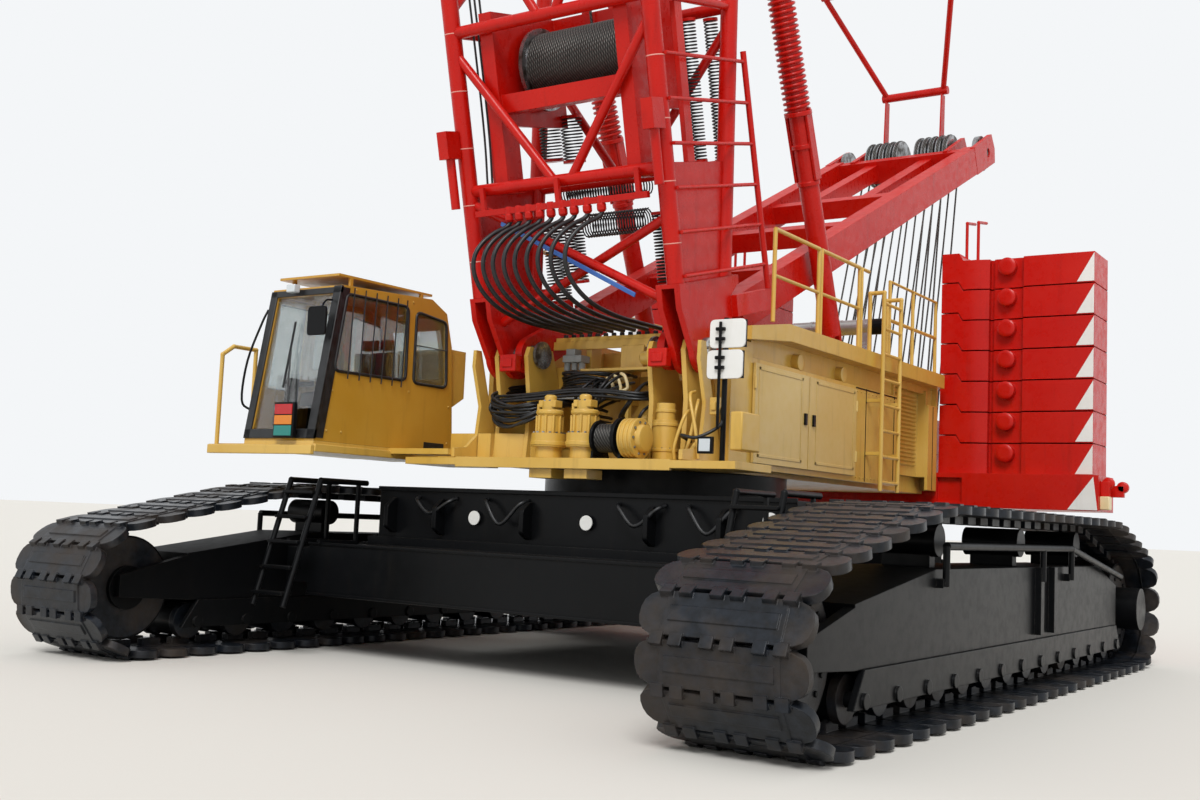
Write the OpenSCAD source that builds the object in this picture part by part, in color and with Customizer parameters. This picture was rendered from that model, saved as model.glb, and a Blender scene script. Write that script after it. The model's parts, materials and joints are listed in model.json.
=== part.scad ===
// Crawler crane, basic boom. Millimetres, +Z up, origin on the ground below the slewing centre.
// The front is -Y and the machine's left side is +X.

/* [Crawlers] */
// Distance of each track's centre line from the middle
track_x = 3390; // [3300:10:3500]
// Width of a track shoe
shoe_w = 1200; // [1000:10:1250]
// Foremost and rearmost reach of a track
track_reach = 4970; // [4900:10:5100]
// Height of the flat top run
track_top = 1690; // [1650:10:1720]
// Number of shoes in one track
shoe_count = 64; // [56:1:72]

/* [Carbody] */
// Half width of the central frame
carbody_x = 1700; // [1500:10:2000]
// Height of the carbody's top
carbody_top = 1600; // [1560:10:1650]
// Front face of the front carbody weight
weight_y = 2690; // [2500:10:2700]

/* [Upper frame] */
// Underside of the upper frame
upper_z = 1950; // [1930:10:1980]
// Half width of the machinery house
house_x = 1440; // [1430:10:1450]
// Front wall of the house
house_y0 = -900; // [-950:10:-880]
// Rear wall of the house
house_y1 = 4270; // [4200:10:4290]
// Roof of the house
house_top = 3330; // [3310:10:3350]

/* [Counterweight] */
// Slabs in each stack
slab_count = 7; // [5:1:8]
// Height of one slab
slab_h = 394; // [380:1:400]
// Outboard face of the stacks
stack_x = 3330; // [3200:10:3400]
// Tail swing radius
tail_r = 6060; // [6000:10:6200]

/* [Boom] */
// Height of the boom foot pin
boom_pin_z = 3080; // [3060:10:3100]
// Forward lean of the boom from upright, in degrees
boom_lean = 14.5; // [13:0.5:16]
// Distance of a chord from the middle
chord_x = 1140; // [1140:10:1150]
// Radius of a chord tube
chord_r = 85; // [80:5:85]
// Length of the butt section
butt_len = 7620; // [7500:10:7800]
// Length from the foot pin to the head sheaves
boom_len = 18300; // [17500:100:20000]

/* [Mast] */
// Rise of the mast from level, in degrees
mast_rise = 25.8; // [25:0.2:27]
// Length from the foot pin to the mast head
mast_len = 9300; // [9200:10:9400]

/* [Cab] */
// Outer face of the cab
cab_x0 = -3120; // [-3150:10:-3100]
// Inner face of the cab
cab_x1 = -2140; // [-2160:10:-2130]

/* [Hidden] */
$fn = 48;
red = "firebrick";
yellow = "goldenrod";
black = "dimgray";

// Gap between two solids that bear on each other, and clearance of a pin in its bore
fit = 0.5;
pin_gap = 0.1;

// Crawlers: one circle per corner of the belt as [y, z, radius], counted round from the rear
idler_r = 640;
sprocket_r = 680;
corner_r = 500;
belt = [
    [track_reach - sprocket_r, sprocket_r, sprocket_r],
    [2960, track_top - corner_r, corner_r],
    [-2340, track_top - corner_r, corner_r],
    [idler_r - track_reach, idler_r, idler_r]
];
track_t = 160;
end_w = 150;
idler_c = [idler_r - track_reach, idler_r];
sprocket_c = [track_reach - sprocket_r, sprocket_r];
frame_w = 760;
frame_x = track_x - frame_w / 2;
roller_r = 150;
roller_z = track_t + roller_r + 2;
carrier_r = 130;
carrier_z = track_top - track_t - carrier_r - 2;

// Upper frame
boom_pin = [0, -1390, boom_pin_z];
pin_r = 105;
deck_z = upper_z + 200;
front_z = upper_z + 60;
skirt_z = upper_z + 40;
kerb_z = house_top + 130;
wall = 40;
centre_x = 1060;
tray_z = 1800;
stack_z = 2230;
stack_y = 4400;
stack_inner = 1420;

// Boom, in its own frame: X across, Y from front to back, Z along it
foot_top = 640;
front_t = -300;
rear_t = 1550;
leg_t = 600;
knee_s = 4660;
lace_r = 42;
cross_r = 60;
bays = [1700, 3250, 5200, 6950];
head_x = 463;
head_front = -60;
head_rear = 620;
plate_s = boom_len - 760;
tip_r = 80;
jib_pin_r = 40;
tip_bays = 7;
tip_start = butt_len + 20;
tip_end = plate_s - 5;

// Mast, in its own frame: Y along it, Z square to it
leg_h = 380;
axle_r = 70;

// Backstops: upper pin on the boom, lower pin on the house roof
stop_x = 1200;
stop_pin = [6200, 1800];
stop_eye = [1500, 3560];
stop_top = [boom_pin[1] - stop_pin[0] * sin(boom_lean) + stop_pin[1] * cos(boom_lean),
    boom_pin[2] + stop_pin[0] * cos(boom_lean) + stop_pin[1] * sin(boom_lean)];
stop_dir = [stop_eye[0] - stop_top[0], stop_eye[1] - stop_top[1]];
stop_len = norm(stop_dir);
stop_turn = atan2(-stop_dir[0], stop_dir[1]);

// Head of the boom and head of the mast in the machine's frame
head_y = boom_pin[1] - boom_len * sin(boom_lean);
head_z = boom_pin[2] + boom_len * cos(boom_lean);
mast_y = boom_pin[1] + mast_len * cos(mast_rise);
mast_z = boom_pin[2] + mast_len * sin(mast_rise);

// Shared shapes: side() runs an outline in Y and Z along X, plan() an outline in X and Y up Z
module side(x, w) translate([x, 0, 0]) rotate([90, 0, 90]) linear_extrude(w) children();
module plan(z, h) translate([0, 0, z]) linear_extrude(h) children();
module both() {
    children();
    mirror([1, 0, 0]) children();
}
module block(a, b) translate(a) cube(b - a);
module rod_x(x0, x1, y, z, r) translate([x0, y, z]) rotate([0, 90, 0]) cylinder(h = x1 - x0, r = r);
module rod_y(y0, y1, x, z, r) translate([x, y0, z]) rotate([-90, 0, 0]) cylinder(h = y1 - y0, r = r);
module rod_z(z0, z1, x, y, r) translate([x, y, z0]) cylinder(h = z1 - z0, r = r);
module tube_to(a, b, r) {
    d = b - a;
    translate(a) rotate([0, acos(d[2] / norm(d)), atan2(d[1], d[0])]) cylinder(h = norm(d), r = r);
}
// A tube cut back from the tubes it meets, each given as [end, end, radius]
module member(a, b, r, off) difference() {
    tube_to(a, b, r);
    for (c = off) tube_to(c[0], c[1], c[2] + fit);
}
// A bent rail: tubes through the points with a rounded knuckle at each bend
module rail(pts, r) {
    for (i = [0:len(pts) - 2]) tube_to(pts[i], pts[i + 1], r);
    for (i = [1:1:len(pts) - 2]) translate(pts[i]) sphere(r = r + 2);
}
function mix(a, b, k) = a + (b - a) * k;
// An outline with its corners rounded by r
function soft(pts, r) = let(n = len(pts)) [for (i = [0:n - 1]) let(p = pts[i],
    a = (pts[(i + n - 1) % n] - p) / norm(pts[(i + n - 1) % n] - p),
    b = (pts[(i + 1) % n] - p) / norm(pts[(i + 1) % n] - p), cut = r / tan(acos(a * b) / 2))
    for (k = [0:3]) let(u = k / 3) mix(mix(p + a * cut, p, u), mix(p, p + b * cut, u), u)];
module on_boom() translate(boom_pin) rotate([boom_lean, 0, 0]) children();
module on_mast() translate(boom_pin) rotate([mast_rise, 0, 0]) children();
module on_stop() translate([0, stop_top[0], stop_top[1]]) rotate([stop_turn, 0, 0]) children();

// Track outline
function tangent(a, b) = (atan2(b[1] - a[1], b[0] - a[0])
    - acos((a[2] - b[2]) / norm([b[0] - a[0], b[1] - a[1]])) + 360) % 360;
function arc(c, r, a0, a1, n) = [for (i = [0:n]) [c[0] + r * cos(a0 + (a1 - a0) * i / n),
    c[1] + r * sin(a0 + (a1 - a0) * i / n)]];
turns = [-90, tangent(belt[0], belt[1]), tangent(belt[1], belt[2]), tangent(belt[2], belt[3]), 270];
function path(inset, step) = [for (i = [0:3]) each arc(belt[i], belt[i][2] - inset, turns[i],
    turns[i + 1], max(2, ceil((turns[i + 1] - turns[i]) / step)))];
run = path(0, 7);
run_n = len(run);
mark = [for (i = 0, s = 0; i <= run_n; s = s + norm(run[(i + 1) % run_n] - run[i % run_n]), i = i + 1) s];
run_len = mark[run_n];
run_y = [for (i = [0:run_n]) [mark[i], run[i % run_n][0]]];
run_z = [for (i = [0:run_n]) [mark[i], run[i % run_n][1]]];
function wrap(u) = (u + run_len) % run_len;
function at(u) = [lookup(wrap(u), run_y), lookup(wrap(u), run_z)];
function outward(u) = let(d = at(u + 20) - at(u - 20)) [d[1], -d[0]] / norm(d);
pitch = run_len / shoe_count;
// Outline with a notch of this gap and depth after each shoe
function tread(gap, depth) = [for (i = [0:shoe_count - 1]) for (p = [[0, 0], [pitch - gap, 0],
    [pitch - gap / 2, depth]]) at(i * pitch + p[0]) - outward(i * pitch + p[0]) * p[1]];
module strip(x, w, gap, depth) side(x, w) difference() {
    polygon(tread(gap, depth));
    polygon(path(track_t, 12));
}
module track(x) color("gray") {
    strip(x - shoe_w / 2 + end_w, shoe_w - 2 * end_w, 60, 45);
    strip(x - shoe_w / 2, end_w, 110, 110);
    strip(x + shoe_w / 2 - end_w, end_w, 110, 110);
}
module side_frame(x) color(black) {
    side(x - frame_w / 2, frame_w) polygon([[-3750, 520], [3650, 520], [3650, 960], [2800, 1180],
        [-2200, 1180], [-3750, 960]]);
    for (s = [-1, 1]) side(x + s * 340 - 40, 80) polygon([[-4480, 560], [-3740, 520], [-3740, 940],
        [-4480, 760]]);
    outer = x > 0 ? frame_w / 2 - 1 : -frame_w / 2 - 59;
    for (y = [500, 950]) block([x + outer, y - 50, 560], [x + outer + 60, y + 50, 1180]);
    rail_x = x + (x > 0 ? 1 : -1) * (frame_w / 2 + 60);
    for (y = [-2150, 500, 1500]) tube_to([rail_x, y, 1050], [rail_x, y, 1360], 28);
    rail([[rail_x, -2150, 1360], [rail_x, 1500, 1360], [rail_x, 3600, 1060]], 32);
    for (y = [-2150, 1500]) block([min(x + outer, rail_x), y - 60, 1040],
        [max(x + outer + 60, rail_x), y + 60, 1110]);
}
module roller_row(x) color(black) {
    for (y = [-3600:600:3600]) {
        rod_x(x - 260, x + 260, y, roller_z, roller_r);
        rod_x(x - 420, x + 420, y, roller_z, 55);
    }
    for (s = [-1, 1]) side(x + s * 375 - 25, 50)
        polygon([[-3780, 260], [3780, 260], [3600, 519], [-3600, 519]]);
    for (y = [-1800, 400, 2400]) {
        rod_x(x - 260, x + 260, y, carrier_z, carrier_r);
        block([x - 200, y - 60, 1181], [x + 200, y + 60, carrier_z - 60]);
    }
}
module wheels_at(c, r, hub, reach) for (s = [-1, 1]) color(black) {
    rod_x(s * track_x - 250, s * track_x + 250, c[0], c[1], r);
    rod_x(s * track_x - reach, s * track_x + reach, c[0], c[1], hub);
}
module idlers() wheels_at(idler_c, idler_r - track_t - 5, 200, 299);
module sprockets() wheels_at(sprocket_c, sprocket_r - track_t - 5, 240, 520);

// Carbody
beam_y = [900, 1800];
module carbody() color(black) {
    block([-carbody_x, -1700, 560], [carbody_x, 1700, carbody_top]);
    for (s = [-1, 1]) {
        y0 = s > 0 ? beam_y[0] : -beam_y[1];
        y1 = s > 0 ? beam_y[1] : -beam_y[0];
        difference() {
            block([-2400, y0, 1100], [2400, y1, 1680]);
            rod_z(carbody_top, 1700, 0, 0, 1320);
        }
        block([-frame_x + fit, y0, 620], [frame_x - fit, y1, 1101]);
    }
    rod_z(carbody_top - 1, carbody_top + 40, 0, 0, 1300);
}
module carbody_weights() color(black) for (s = [-1, 1]) {
    y = [s * (beam_y[1] + fit), s * weight_y];
    block([-2490, min(y), 580], [2490, max(y), 1090]);
    block([-2790, min(y) + (s < 0 ? 0 : 500), 700], [2790, max(y) - (s < 0 ? 500 : 0), 1050]);
    block([-2400, min(s * 1820, s * 1960), 1089], [2400, max(s * 1820, s * 1960), 1180]);
}
step_foot = [-3150, 480];
step_top = [-2750, 1715];
module steps() color(black) for (s = [-1, 1]) {
    x0 = s > 0 ? 2300 : -2760;
    x1 = x0 + 460;
    for (x = [x0 + 20, x1 - 20]) {
        rail([[x, step_foot[0], step_foot[1]], [x, step_top[0], step_top[1]],
            [x, step_top[0] + 650, step_top[1]]], 28);
        block([x - 15, -2740, 1090 + fit], [x + 15, -2200, 1130]);
        block([x - 15, -2240, 1129], [x + 15, -2200, 1700]);
    }
    for (i = [0:4]) let(p = mix(step_foot, step_top, (i + 0.5) / 5)) rod_x(x0 + 10, x1 - 10, p[0], p[1], 20);
}
module slew_ring() color(black) difference() {
    rod_z(carbody_top + 42, upper_z - 2, 0, 0, 1280);
    rod_z(carbody_top, upper_z, 0, 0, 1000);
}

// Upper frame
module platform() color(yellow) {
    difference() {
        block([-1240, -1000, upper_z], [1240, 4290, deck_z]);
        rod_z(upper_z - 1, deck_z + 1, 0, 0, 400);
    }
    block([-1240, 4289, upper_z], [1240, 6000, deck_z]);
    block([-1240, -2000, upper_z], [1240, -999, front_z]);
    block([-1240, -2000, upper_z - 40], [1240, -1960, front_z]);
    both() block([1239, -2000, upper_z - 20], [1900, -1310, front_z - 10]);
    both() for (y = [[-850, 295], [345, 4220]]) block([900, y[0], deck_z - 1], [960, y[1], 2550]);
    block([-899, -850, deck_z - 1], [899, -820, 2900]);
    block([-780, -1020, 3270], [680, -840, 3310]);
    for (x = [-400, 100]) block([x, -1000, 2600], [x + 60, -819, 3271]);
}
module foot_plate(x, w) side(x, w) difference() {
    polygon([[-1560, front_z + fit], [-1001, front_z + fit], [-1001, deck_z + fit], [-905, deck_z + fit],
        [-905, 2450], [-1180, 3150], [-1560, 3150], [-1600, 3050], [-1520, 2600], [-1530, 2300]]);
    translate([boom_pin[1], boom_pin_z]) circle(r = pin_r + pin_gap);
}
module foot_brackets() color(yellow) both() {
    foot_plate(1075, 50);
    foot_plate(700, 50);
    side(1300, 40) polygon([[-1950, front_z + fit], [-1200, front_z + fit], [-1430, 2600], [-1600, 3120],
        [-1680, 3120], [-1690, 2950], [-1560, 2550], [-1600, 2250], [-1760, 2120], [-1950, 2100]]);
    block([699, -1280, front_z + fit], [1301, -1005, 2040]);
}
module foot_pins() color("silver") both() {
    rod_x(690, 1262, boom_pin[1], boom_pin_z, pin_r);
    rod_x(660, 691, boom_pin[1], boom_pin_z, 140);
}
door_z = [2050, 3010];
module house() color(yellow) {
    difference() {
        block([-house_x, house_y0, skirt_z], [house_x, house_y1, house_top]);
        block([wall - house_x, house_y0 + wall, 1000], [house_x - wall, house_y1 - wall, 2900]);
        block([110 - house_x, house_y0 + wall, 2899], [house_x - 110, house_y1 - wall, house_top - wall]);
        block([-1241, house_y0 - 1, 1000], [1241, house_y1 + 1, deck_z + fit]);
        block([-centre_x, house_y0 - 10, 1000], [centre_x, 340, house_top + 10]);
        both() {
            block([house_x - 70, house_y0 + 40, 3060], [house_x + 1, 4230, 3290]);
            block([house_x - wall - 10, -800, door_z[0] + 50], [house_x + 1, 320, door_z[1] - 50]);
            block([house_x - wall - 10, 400, door_z[0] + 50], [house_x + 1, 1540, door_z[1] - 50]);
            block([house_x - 150, 2900, 1000], [house_x + 1, 3950, 3200]);
        }
    }
    both() {
        block([centre_x, house_y0 + wall - 1, deck_z + fit], [centre_x + 30, 341, house_top - wall + 1]);
        block([house_x - 190, 2860, deck_z + fit], [house_x - 149, 3990, 3240]);
        block([house_x - 150, 2860, deck_z + fit], [house_x - wall + 1, 2901, 3240]);
        block([house_x - 150, 3949, deck_z + fit], [house_x - wall + 1, 3990, 3240]);
        block([house_x - 60, -1280, skirt_z], [house_x, house_y0 + 1, 3200]);
        side(house_x - 100, 210) polygon([[-1100, 3199], [-1100, 3330], [-300, kerb_z], [4200, kerb_z],
            [4200, 3290], [-250, 3290]]);
        for (y = [200, 1290]) rod_x(house_x - 71, house_x - 10, y, 3140, 85);
    }
    block([-centre_x - 31, 300, deck_z + fit], [centre_x + 31, 341, house_top]);
    both() block([1100, 1350, house_top - 1], [1300, 1650, house_top + 30]);
}
module engine() color("dimgray") block([-620, 1300, 2350], [620, 3300, 3150]);
exhaust_z = 3870;
module exhaust() color("silver") {
    rod_x(200, 1410, 2600, exhaust_z, 90);
    for (x = [450, 1150]) block([x - 40, 2540, house_top + fit], [x + 40, 2660, exhaust_z - 60]);
}
module swing_drives() color(yellow) {
    for (x = [-230, 180]) {
        rod_z(front_z + fit, 2120, x, -1820, 130);
        rod_z(2119, 2250, x, -1820, 170);
        rod_z(2249, 2480, x, -1820, 115);
        rod_z(2479, 2560, x, -1820, 80);
        block([x - 130, -1940, 1820], [x + 130, -1680, upper_z - 40 - fit]);
    }
    rod_z(front_z + fit, 2400, 870, -1480, 120);
    rod_z(2399, 2560, 870, -1480, 90);
    rod_x(685 + fit, 850, -1860, 2205, 175);
    difference() {
        plan(front_z + fit, 260) polygon(concat([[-1650, -1285], [-1650, -1600], [-940, -1600]],
            [for (a = [15:15:90]) [-940 + 320 * sin(a), -1285 - 315 * cos(a)]]));
        for (x = [-1340, -1125, -750]) block([x - fit, -1700, 1900], [x + 50 + fit, -1200, 2400]);
    }
}
module front_winch() color(black) {
    rod_x(375, 656, -1860, 2205, 125);
    rod_x(375, 400, -1860, 2205, 165);
    rod_x(620, 656, -1860, 2205, 190);
    side(655, 30) polygon([[-1960, front_z + fit], [-1660, front_z + fit], [-1800, 2330], [-1920, 2330]]);
    side(356, 20) polygon([[-1960, front_z + fit], [-1660, front_z + fit], [-1800, 2280], [-1920, 2280]]);
}
module handrail(a, b, h) {
    for (p = [a, b]) tube_to(p, p + [0, 0, h], 22);
    tube_to(a + [0, 0, h], b + [0, 0, h], 22);
    tube_to(a + [0, 0, h / 2], b + [0, 0, h / 2], 18);
}
rail_z = kerb_z + fit;
module handrails() color(yellow) {
    handrail([1450, -480, rail_z], [1450, 560, rail_z], 930);
    handrail([1450, 620, rail_z], [1450, 1640, rail_z], 930);
    handrail([-1450, -480, rail_z], [-1450, 4100, rail_z], 930);
}
ladder_y = [1960, 2480];
module ladder() color(yellow) {
    for (y = ladder_y) {
        rail([[1620, y, 1900], [1620, y, 4150], [1450, y, 4150], [1450, y, rail_z]], 24);
        for (z = [2300, 2900]) block([house_x + fit, y - 20, z], [1610, y + 20, z + 40]);
    }
    for (i = [0:7]) tube_to([1620, ladder_y[0], 2000 + i * 290], [1620, ladder_y[1], 2000 + i * 290], 18);
}
module mirrors() color("black") {
    tube_to([1560, -1620, front_z - 10 + fit], [1560, -1620, 3320], 25);
    side(1440, 350) polygon(soft([[-1680, 3040], [-1650, 3040], [-1650, 3290], [-1680, 3290]], 6));
    side(1420, 350) polygon(soft([[-1680, 2760], [-1650, 2760], [-1650, 3010], [-1680, 3010]], 6));
    for (z = [2880, 3160]) block([1540, -1655, z], [1580, -1620, z + 30]);
}
module tail_tray() color(red) difference() {
    intersection() {
        union() {
            both() block([1241, 4300, tray_z], [3420, 6200, stack_z - fit]);
            block([-1242, 4300, tray_z], [1242, 6200, upper_z - fit]);
        }
        rod_z(0, 9000, 0, 0, tail_r + 40, $fn = 240);
    }
    both() block([1440, 4299, tray_z + 60], [1760, 4360, stack_z - 60]);
}

// One stack: the slabs' front in plan, and the raised step at their inner ends
front_plan = [[stack_inner, stack_y], [1850, stack_y], [2030, stack_y + 45], [2030, stack_y + 130],
    [2085, stack_y + 130], [2085, stack_y + 75], [2450, stack_y + 75], [2470, stack_y],
    [stack_x, stack_y], [stack_x, 6200], [stack_inner, 6200]];
step_h = 100;
joint_h = 16;
function slab_front(z, low) = [[stack_inner, z + low], [1640, z + low], [1700, z], [stack_x + 1, z],
    [stack_x + 1, z + slab_h - joint_h], [1700, z + slab_h - joint_h],
    [1640, z + slab_h - joint_h + step_h], [stack_inner, z + slab_h - joint_h + step_h]];
module stack() color(red) {
    intersection() {
        union() {
            for (i = [0:slab_count - 1]) intersection() {
                plan(stack_z, slab_count * slab_h + 300) polygon(front_plan);
                translate([0, 7000, 0]) rotate([90, 0, 0]) linear_extrude(3000)
                    polygon(slab_front(stack_z + i * slab_h, i == 0 ? 0 : step_h));
            }
            block([stack_inner + 20, stack_y + 180, stack_z],
                [stack_x - 20, 5900, stack_z + slab_count * slab_h - 30]);
        }
        rod_z(0, 9000, 0, 0, tail_r, $fn = 240);
    }
    for (i = [0:slab_count - 1]) rod_y(stack_y - 25, stack_y + 80, 2265, stack_z + i * slab_h + 262, 112);
    top = stack_z + slab_count * slab_h - 18;
    for (x = [1640, 1790]) rail([[x, 4700, top], [x, 4700, top + 560], [x + 20, 4960, top + 600]], 20);
}
module rope_anchor() color(red) {
    both() block([940, 4500, 2551], [1010, 6000, 3000]);
    rod_x(-1000, 1000, 5750, 2850, 60);
    for (i = [-5:5]) rod_x(i * 160 - 40, i * 160 + 40, 5750, 2850, 240);
    rod_x(-900, 900, 4900, 2850, 300);
    both() block([900, 4400, deck_z + fit], [960, 6000, 2552]);
}

// Cab, outlines in Y and Z
cab_out = [[-3060, 2090], [-1000, 2090], [-1090, 3250], [-1200, 3610], [-1450, 3730], [-2800, 3660]];
cab_in = [[-3005, 2140], [-1052, 2140], [-1142, 3240], [-1242, 3570], [-1465, 3680], [-2756, 3610]];
win_a = [[-2850, 2795], [-1810, 2810], [-1820, 3590], [-2725, 3580]];
win_b = [[-1690, 2800], [-1155, 2800], [-1205, 3510], [-1690, 3560]];
function inset(pts, d) = let(c = (pts[0] + pts[1] + pts[2] + pts[3]) / 4)
    [for (p = pts) p - d * [sign(p[0] - c[0]), sign(p[1] - c[1])]];
screen_z = [2200, 3570];
function screen_y(z, in) = -3060 + (z - 2090) * 260 / 1570 + in;
function cab_back(z) = -1000 - (z - 2090) * 90 / 1160 + 2;
module cab_shell() color(yellow) {
    difference() {
        side(cab_x0, cab_x1 - cab_x0) polygon(cab_out);
        side(cab_x0 + 50, cab_x1 - cab_x0 - 100) polygon(cab_in);
        side(cab_x1 - 60, 80) polygon(soft(win_a, 70));
        side(cab_x1 - 60, 80) polygon(soft(win_b, 70));
        side(cab_x0 - 20, 80) polygon(soft(win_b, 70));
        side(cab_x0 - 20, 80) polygon([[-2900, 2200], [-1790, 2200], [-1790, 3590], [-2715, 3590]]);
        side(cab_x0 + 90, cab_x1 - cab_x0 - 180) polygon([[-3300, screen_z[0]], [-3300, screen_z[1]],
            [screen_y(screen_z[1], 90), screen_z[1]], [screen_y(screen_z[0], 90), screen_z[0]]]);
        block([cab_x0 + 150, -1200, 2900], [cab_x1 - 150, -1000, 3450]);
    }
    side(cab_x0 + 60, cab_x1 - cab_x0 - 130)
        polygon([[-2780, 3760], [-2780, 3785], [-1380, 3800], [-1380, 3775]]);
    for (x = [cab_x0 + 70, cab_x1 - 100]) for (y = [-2620, -1560])
        block([x, y, 3640], [x + 30, y + 40, 3775]);
}
module pane(x, pts) side(x, 8) polygon(pts);
module cab_glass() color("lightblue", 0.4) {
    pane(cab_x1 - 30, soft(inset(win_a, 2), 70));
    pane(cab_x1 - 30, soft(inset(win_b, 2), 70));
    pane(cab_x0 + 30, soft(inset(win_b, 2), 70));
    side(cab_x0 + 92, cab_x1 - cab_x0 - 184) polygon([for (p = [[0, 14], [1, 14], [1, 22], [0, 22]])
        let(z = screen_z[p[0]] + (p[0] > 0 ? -2 : 2)) [screen_y(z, p[1]), z]]);
    block([cab_x0 + 152, -1125, 2902], [cab_x1 - 152, -1117, 3448]);
}
module cab_seat() color("black") {
    block([-2880, -2250, 2141], [-2400, -1750, 2560]);
    block([-2860, -1850, 2559], [-2420, -1720, 3250]);
    block([-2980, -2700, 2141], [-2880, -2251, 2760]);
}
module cab_door() color(yellow) difference() {
    side(cab_x0 - 45, 38) polygon([[-2930, 2180], [-1770, 2180], [-1770, 3620], [-2720, 3620]]);
    side(cab_x0 - 60, 70) polygon([[-2820, 2640], [-1870, 2640], [-1870, 3540], [-2680, 3540]]);
}
module cab_door_glass() color("lightblue", 0.4) pane(cab_x0 - 30, [[-2815, 2643], [-1873, 2643],
    [-1873, 3537], [-2678, 3537]]);
module cab_bracket() color(yellow) {
    block([cab_x0, -3060, 2000], [cab_x1, -900, 2090 - fit]);
    block([-2141, -2000, 2030], [-1340 - fit, -1700, 2089]);
    block([-2141, -1260, 2030], [-house_x - fit, -1060, 2089]);
    block([-3620, -3090, 1990], [cab_x0 + 560, -3059, 2050]);
    block([-3620, -3060, 2020], [cab_x0 + 1, -1000, 2050]);
    rail([[-3560, -3040, 2049], [-3560, -3040, 2980], [-3560, -2900, 3080], [-3560, -2600, 3080],
        [-3560, -2600, 2049]], 22);
    side(cab_x0 + 180, cab_x1 - cab_x0 - 220) polygon([[cab_back(2580), 2580], [-800, 2720],
        [-800, 3240], [cab_back(3240), 3240]]);
    block([-2500, -985, 2089], [-2440, -900, 2640]);
}
module house_door(y0, y1, hinge) color(yellow) {
    block([house_x + 6, y0, door_z[0]], [house_x + 36, y1, door_z[1]]);
    for (z = [2200, 2760]) rod_z(z, z + 120, house_x + 36, hinge, 14);
}

// Boom: centre lines of the chords of the butt section as [end, end, radius]
function rear_at(s) = s < knee_s ? mix(leg_t, rear_t, (s - foot_top) / (knee_s - foot_top)) : rear_t;
function front_chord(m) = [[m * chord_x, front_t, foot_top - 300], [m * chord_x, front_t, butt_len], chord_r];
function rear_leg(m) = [[m * chord_x, rear_at(foot_top - 300), foot_top - 300],
    [m * chord_x, rear_t, knee_s], chord_r];
function rear_chord(m) = [[m * chord_x, rear_t, knee_s], [m * chord_x, rear_t, butt_len], chord_r];
butt_lines = [for (m = [-1, 1]) each [front_chord(m), rear_leg(m), rear_chord(m)]];
module boom_foot(x, w) side(x, w) difference() {
    union() {
        circle(r = 235);
        polygon([[-235, 0], [235, 0], [572, 240], [572, 450], [760, 560], [760, foot_top],
            [-385, foot_top], [-385, 420]]);
    }
    circle(r = pin_r + pin_gap);
}
module boom_feet() color(red) on_boom() both() {
    boom_foot(1165, 60);
    boom_foot(970, 60);
    block([971, -385, foot_top - 40], [1224, 760, foot_top]);
    side(1125, 30) polygon([[front_t + 87, foot_top + fit], [rear_at(foot_top) - 90, foot_top + fit],
        [rear_at(1740) - 90, 1740], [front_t + 87, 1740]]);
    block([1170, 572 + fit, 240], [1290, 1340, 450]);
}
module boom_butt() color(red) on_boom() both() {
    tube_to([chord_x, front_t, foot_top + fit], [chord_x, front_t, butt_len], chord_r);
    difference() {
        union() {
            tube_to(rear_leg(1)[0], rear_leg(1)[1], chord_r);
            translate(rear_leg(1)[1]) sphere(r = chord_r + 2);
            tube_to(rear_chord(1)[0], rear_chord(1)[1], chord_r);
            block([1070, rear_t, 6080], [1110, 1900, 6320]);
        }
        block([900, -300, 0], [1400, 1200, foot_top + fit]);
    }
    for (t = [front_t, rear_t]) translate([chord_x, t, butt_len - 160]) cylinder(h = 160, r = 105);
}
function tip_x(k) = mix(chord_x, head_x, k);
function tip_f(k) = mix(front_t, head_front, k);
function tip_b(k) = mix(rear_t, head_rear, k);
function tip_s(k) = mix(tip_start, tip_end, k);
function tip_at(m, f, k) = [m * tip_x(k), f ? tip_f(k) : tip_b(k), tip_s(k)];
tip_lines = [for (m = [-1, 1]) for (f = [true, false]) [tip_at(m, f, 0), tip_at(m, f, 1), tip_r]];
module boom_tip() color(red) on_boom() {
    for (c = tip_lines) {
        tube_to(c[0], c[1], c[2]);
        tube_to(c[0], mix(c[0], c[1], 0.009), c[2] + 22);
    }
    both() side(head_x - 30, 60) difference() {
        polygon([[-200, plate_s], [760, plate_s], [720, boom_len + 100], [200, boom_len + 260],
            [-420, boom_len + 150], [-420, boom_len - 150]]);
        translate([0, plate_s + 200]) circle(r = jib_pin_r);
    }
    rod_x(-head_x + 31, head_x - 31, 500, boom_len - 600, 70);
}
// Lattice of the butt section: cross tubes, side braces, V braces on the front and the rear
v_foot = 95;
module butt_lacing() {
    for (s = bays) for (t = [front_t, rear_at(s)])
        member([-chord_x, t, s], [chord_x, t, s], cross_r, butt_lines);
    for (i = [1:3]) let(s = bays[i]) both() member([chord_x, front_t, s], [chord_x, rear_at(s), s], lace_r,
        butt_lines);
    both() {
        member([chord_x, front_t, 3450], [chord_x, rear_at(4950), 4950], lace_r, butt_lines);
        member([chord_x, rear_at(5450), 5450], [chord_x, front_t, 6750], lace_r, butt_lines);
        block([1100, 110, 1741], [1150, 240, bays[1] - lace_r - 2]);
    }
    for (i = [0:2]) for (f = [true, false]) both() let(t0 = f ? front_t : rear_at(bays[i]),
        t1 = f ? front_t : rear_at(bays[i + 1] - 180))
        member([chord_x, t1, bays[i + 1] - 180], [v_foot, t0, bays[i]], 46,
            concat(butt_lines, [[[-chord_x, t0, bays[i]], [chord_x, t0, bays[i]], cross_r]]));
}
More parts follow.
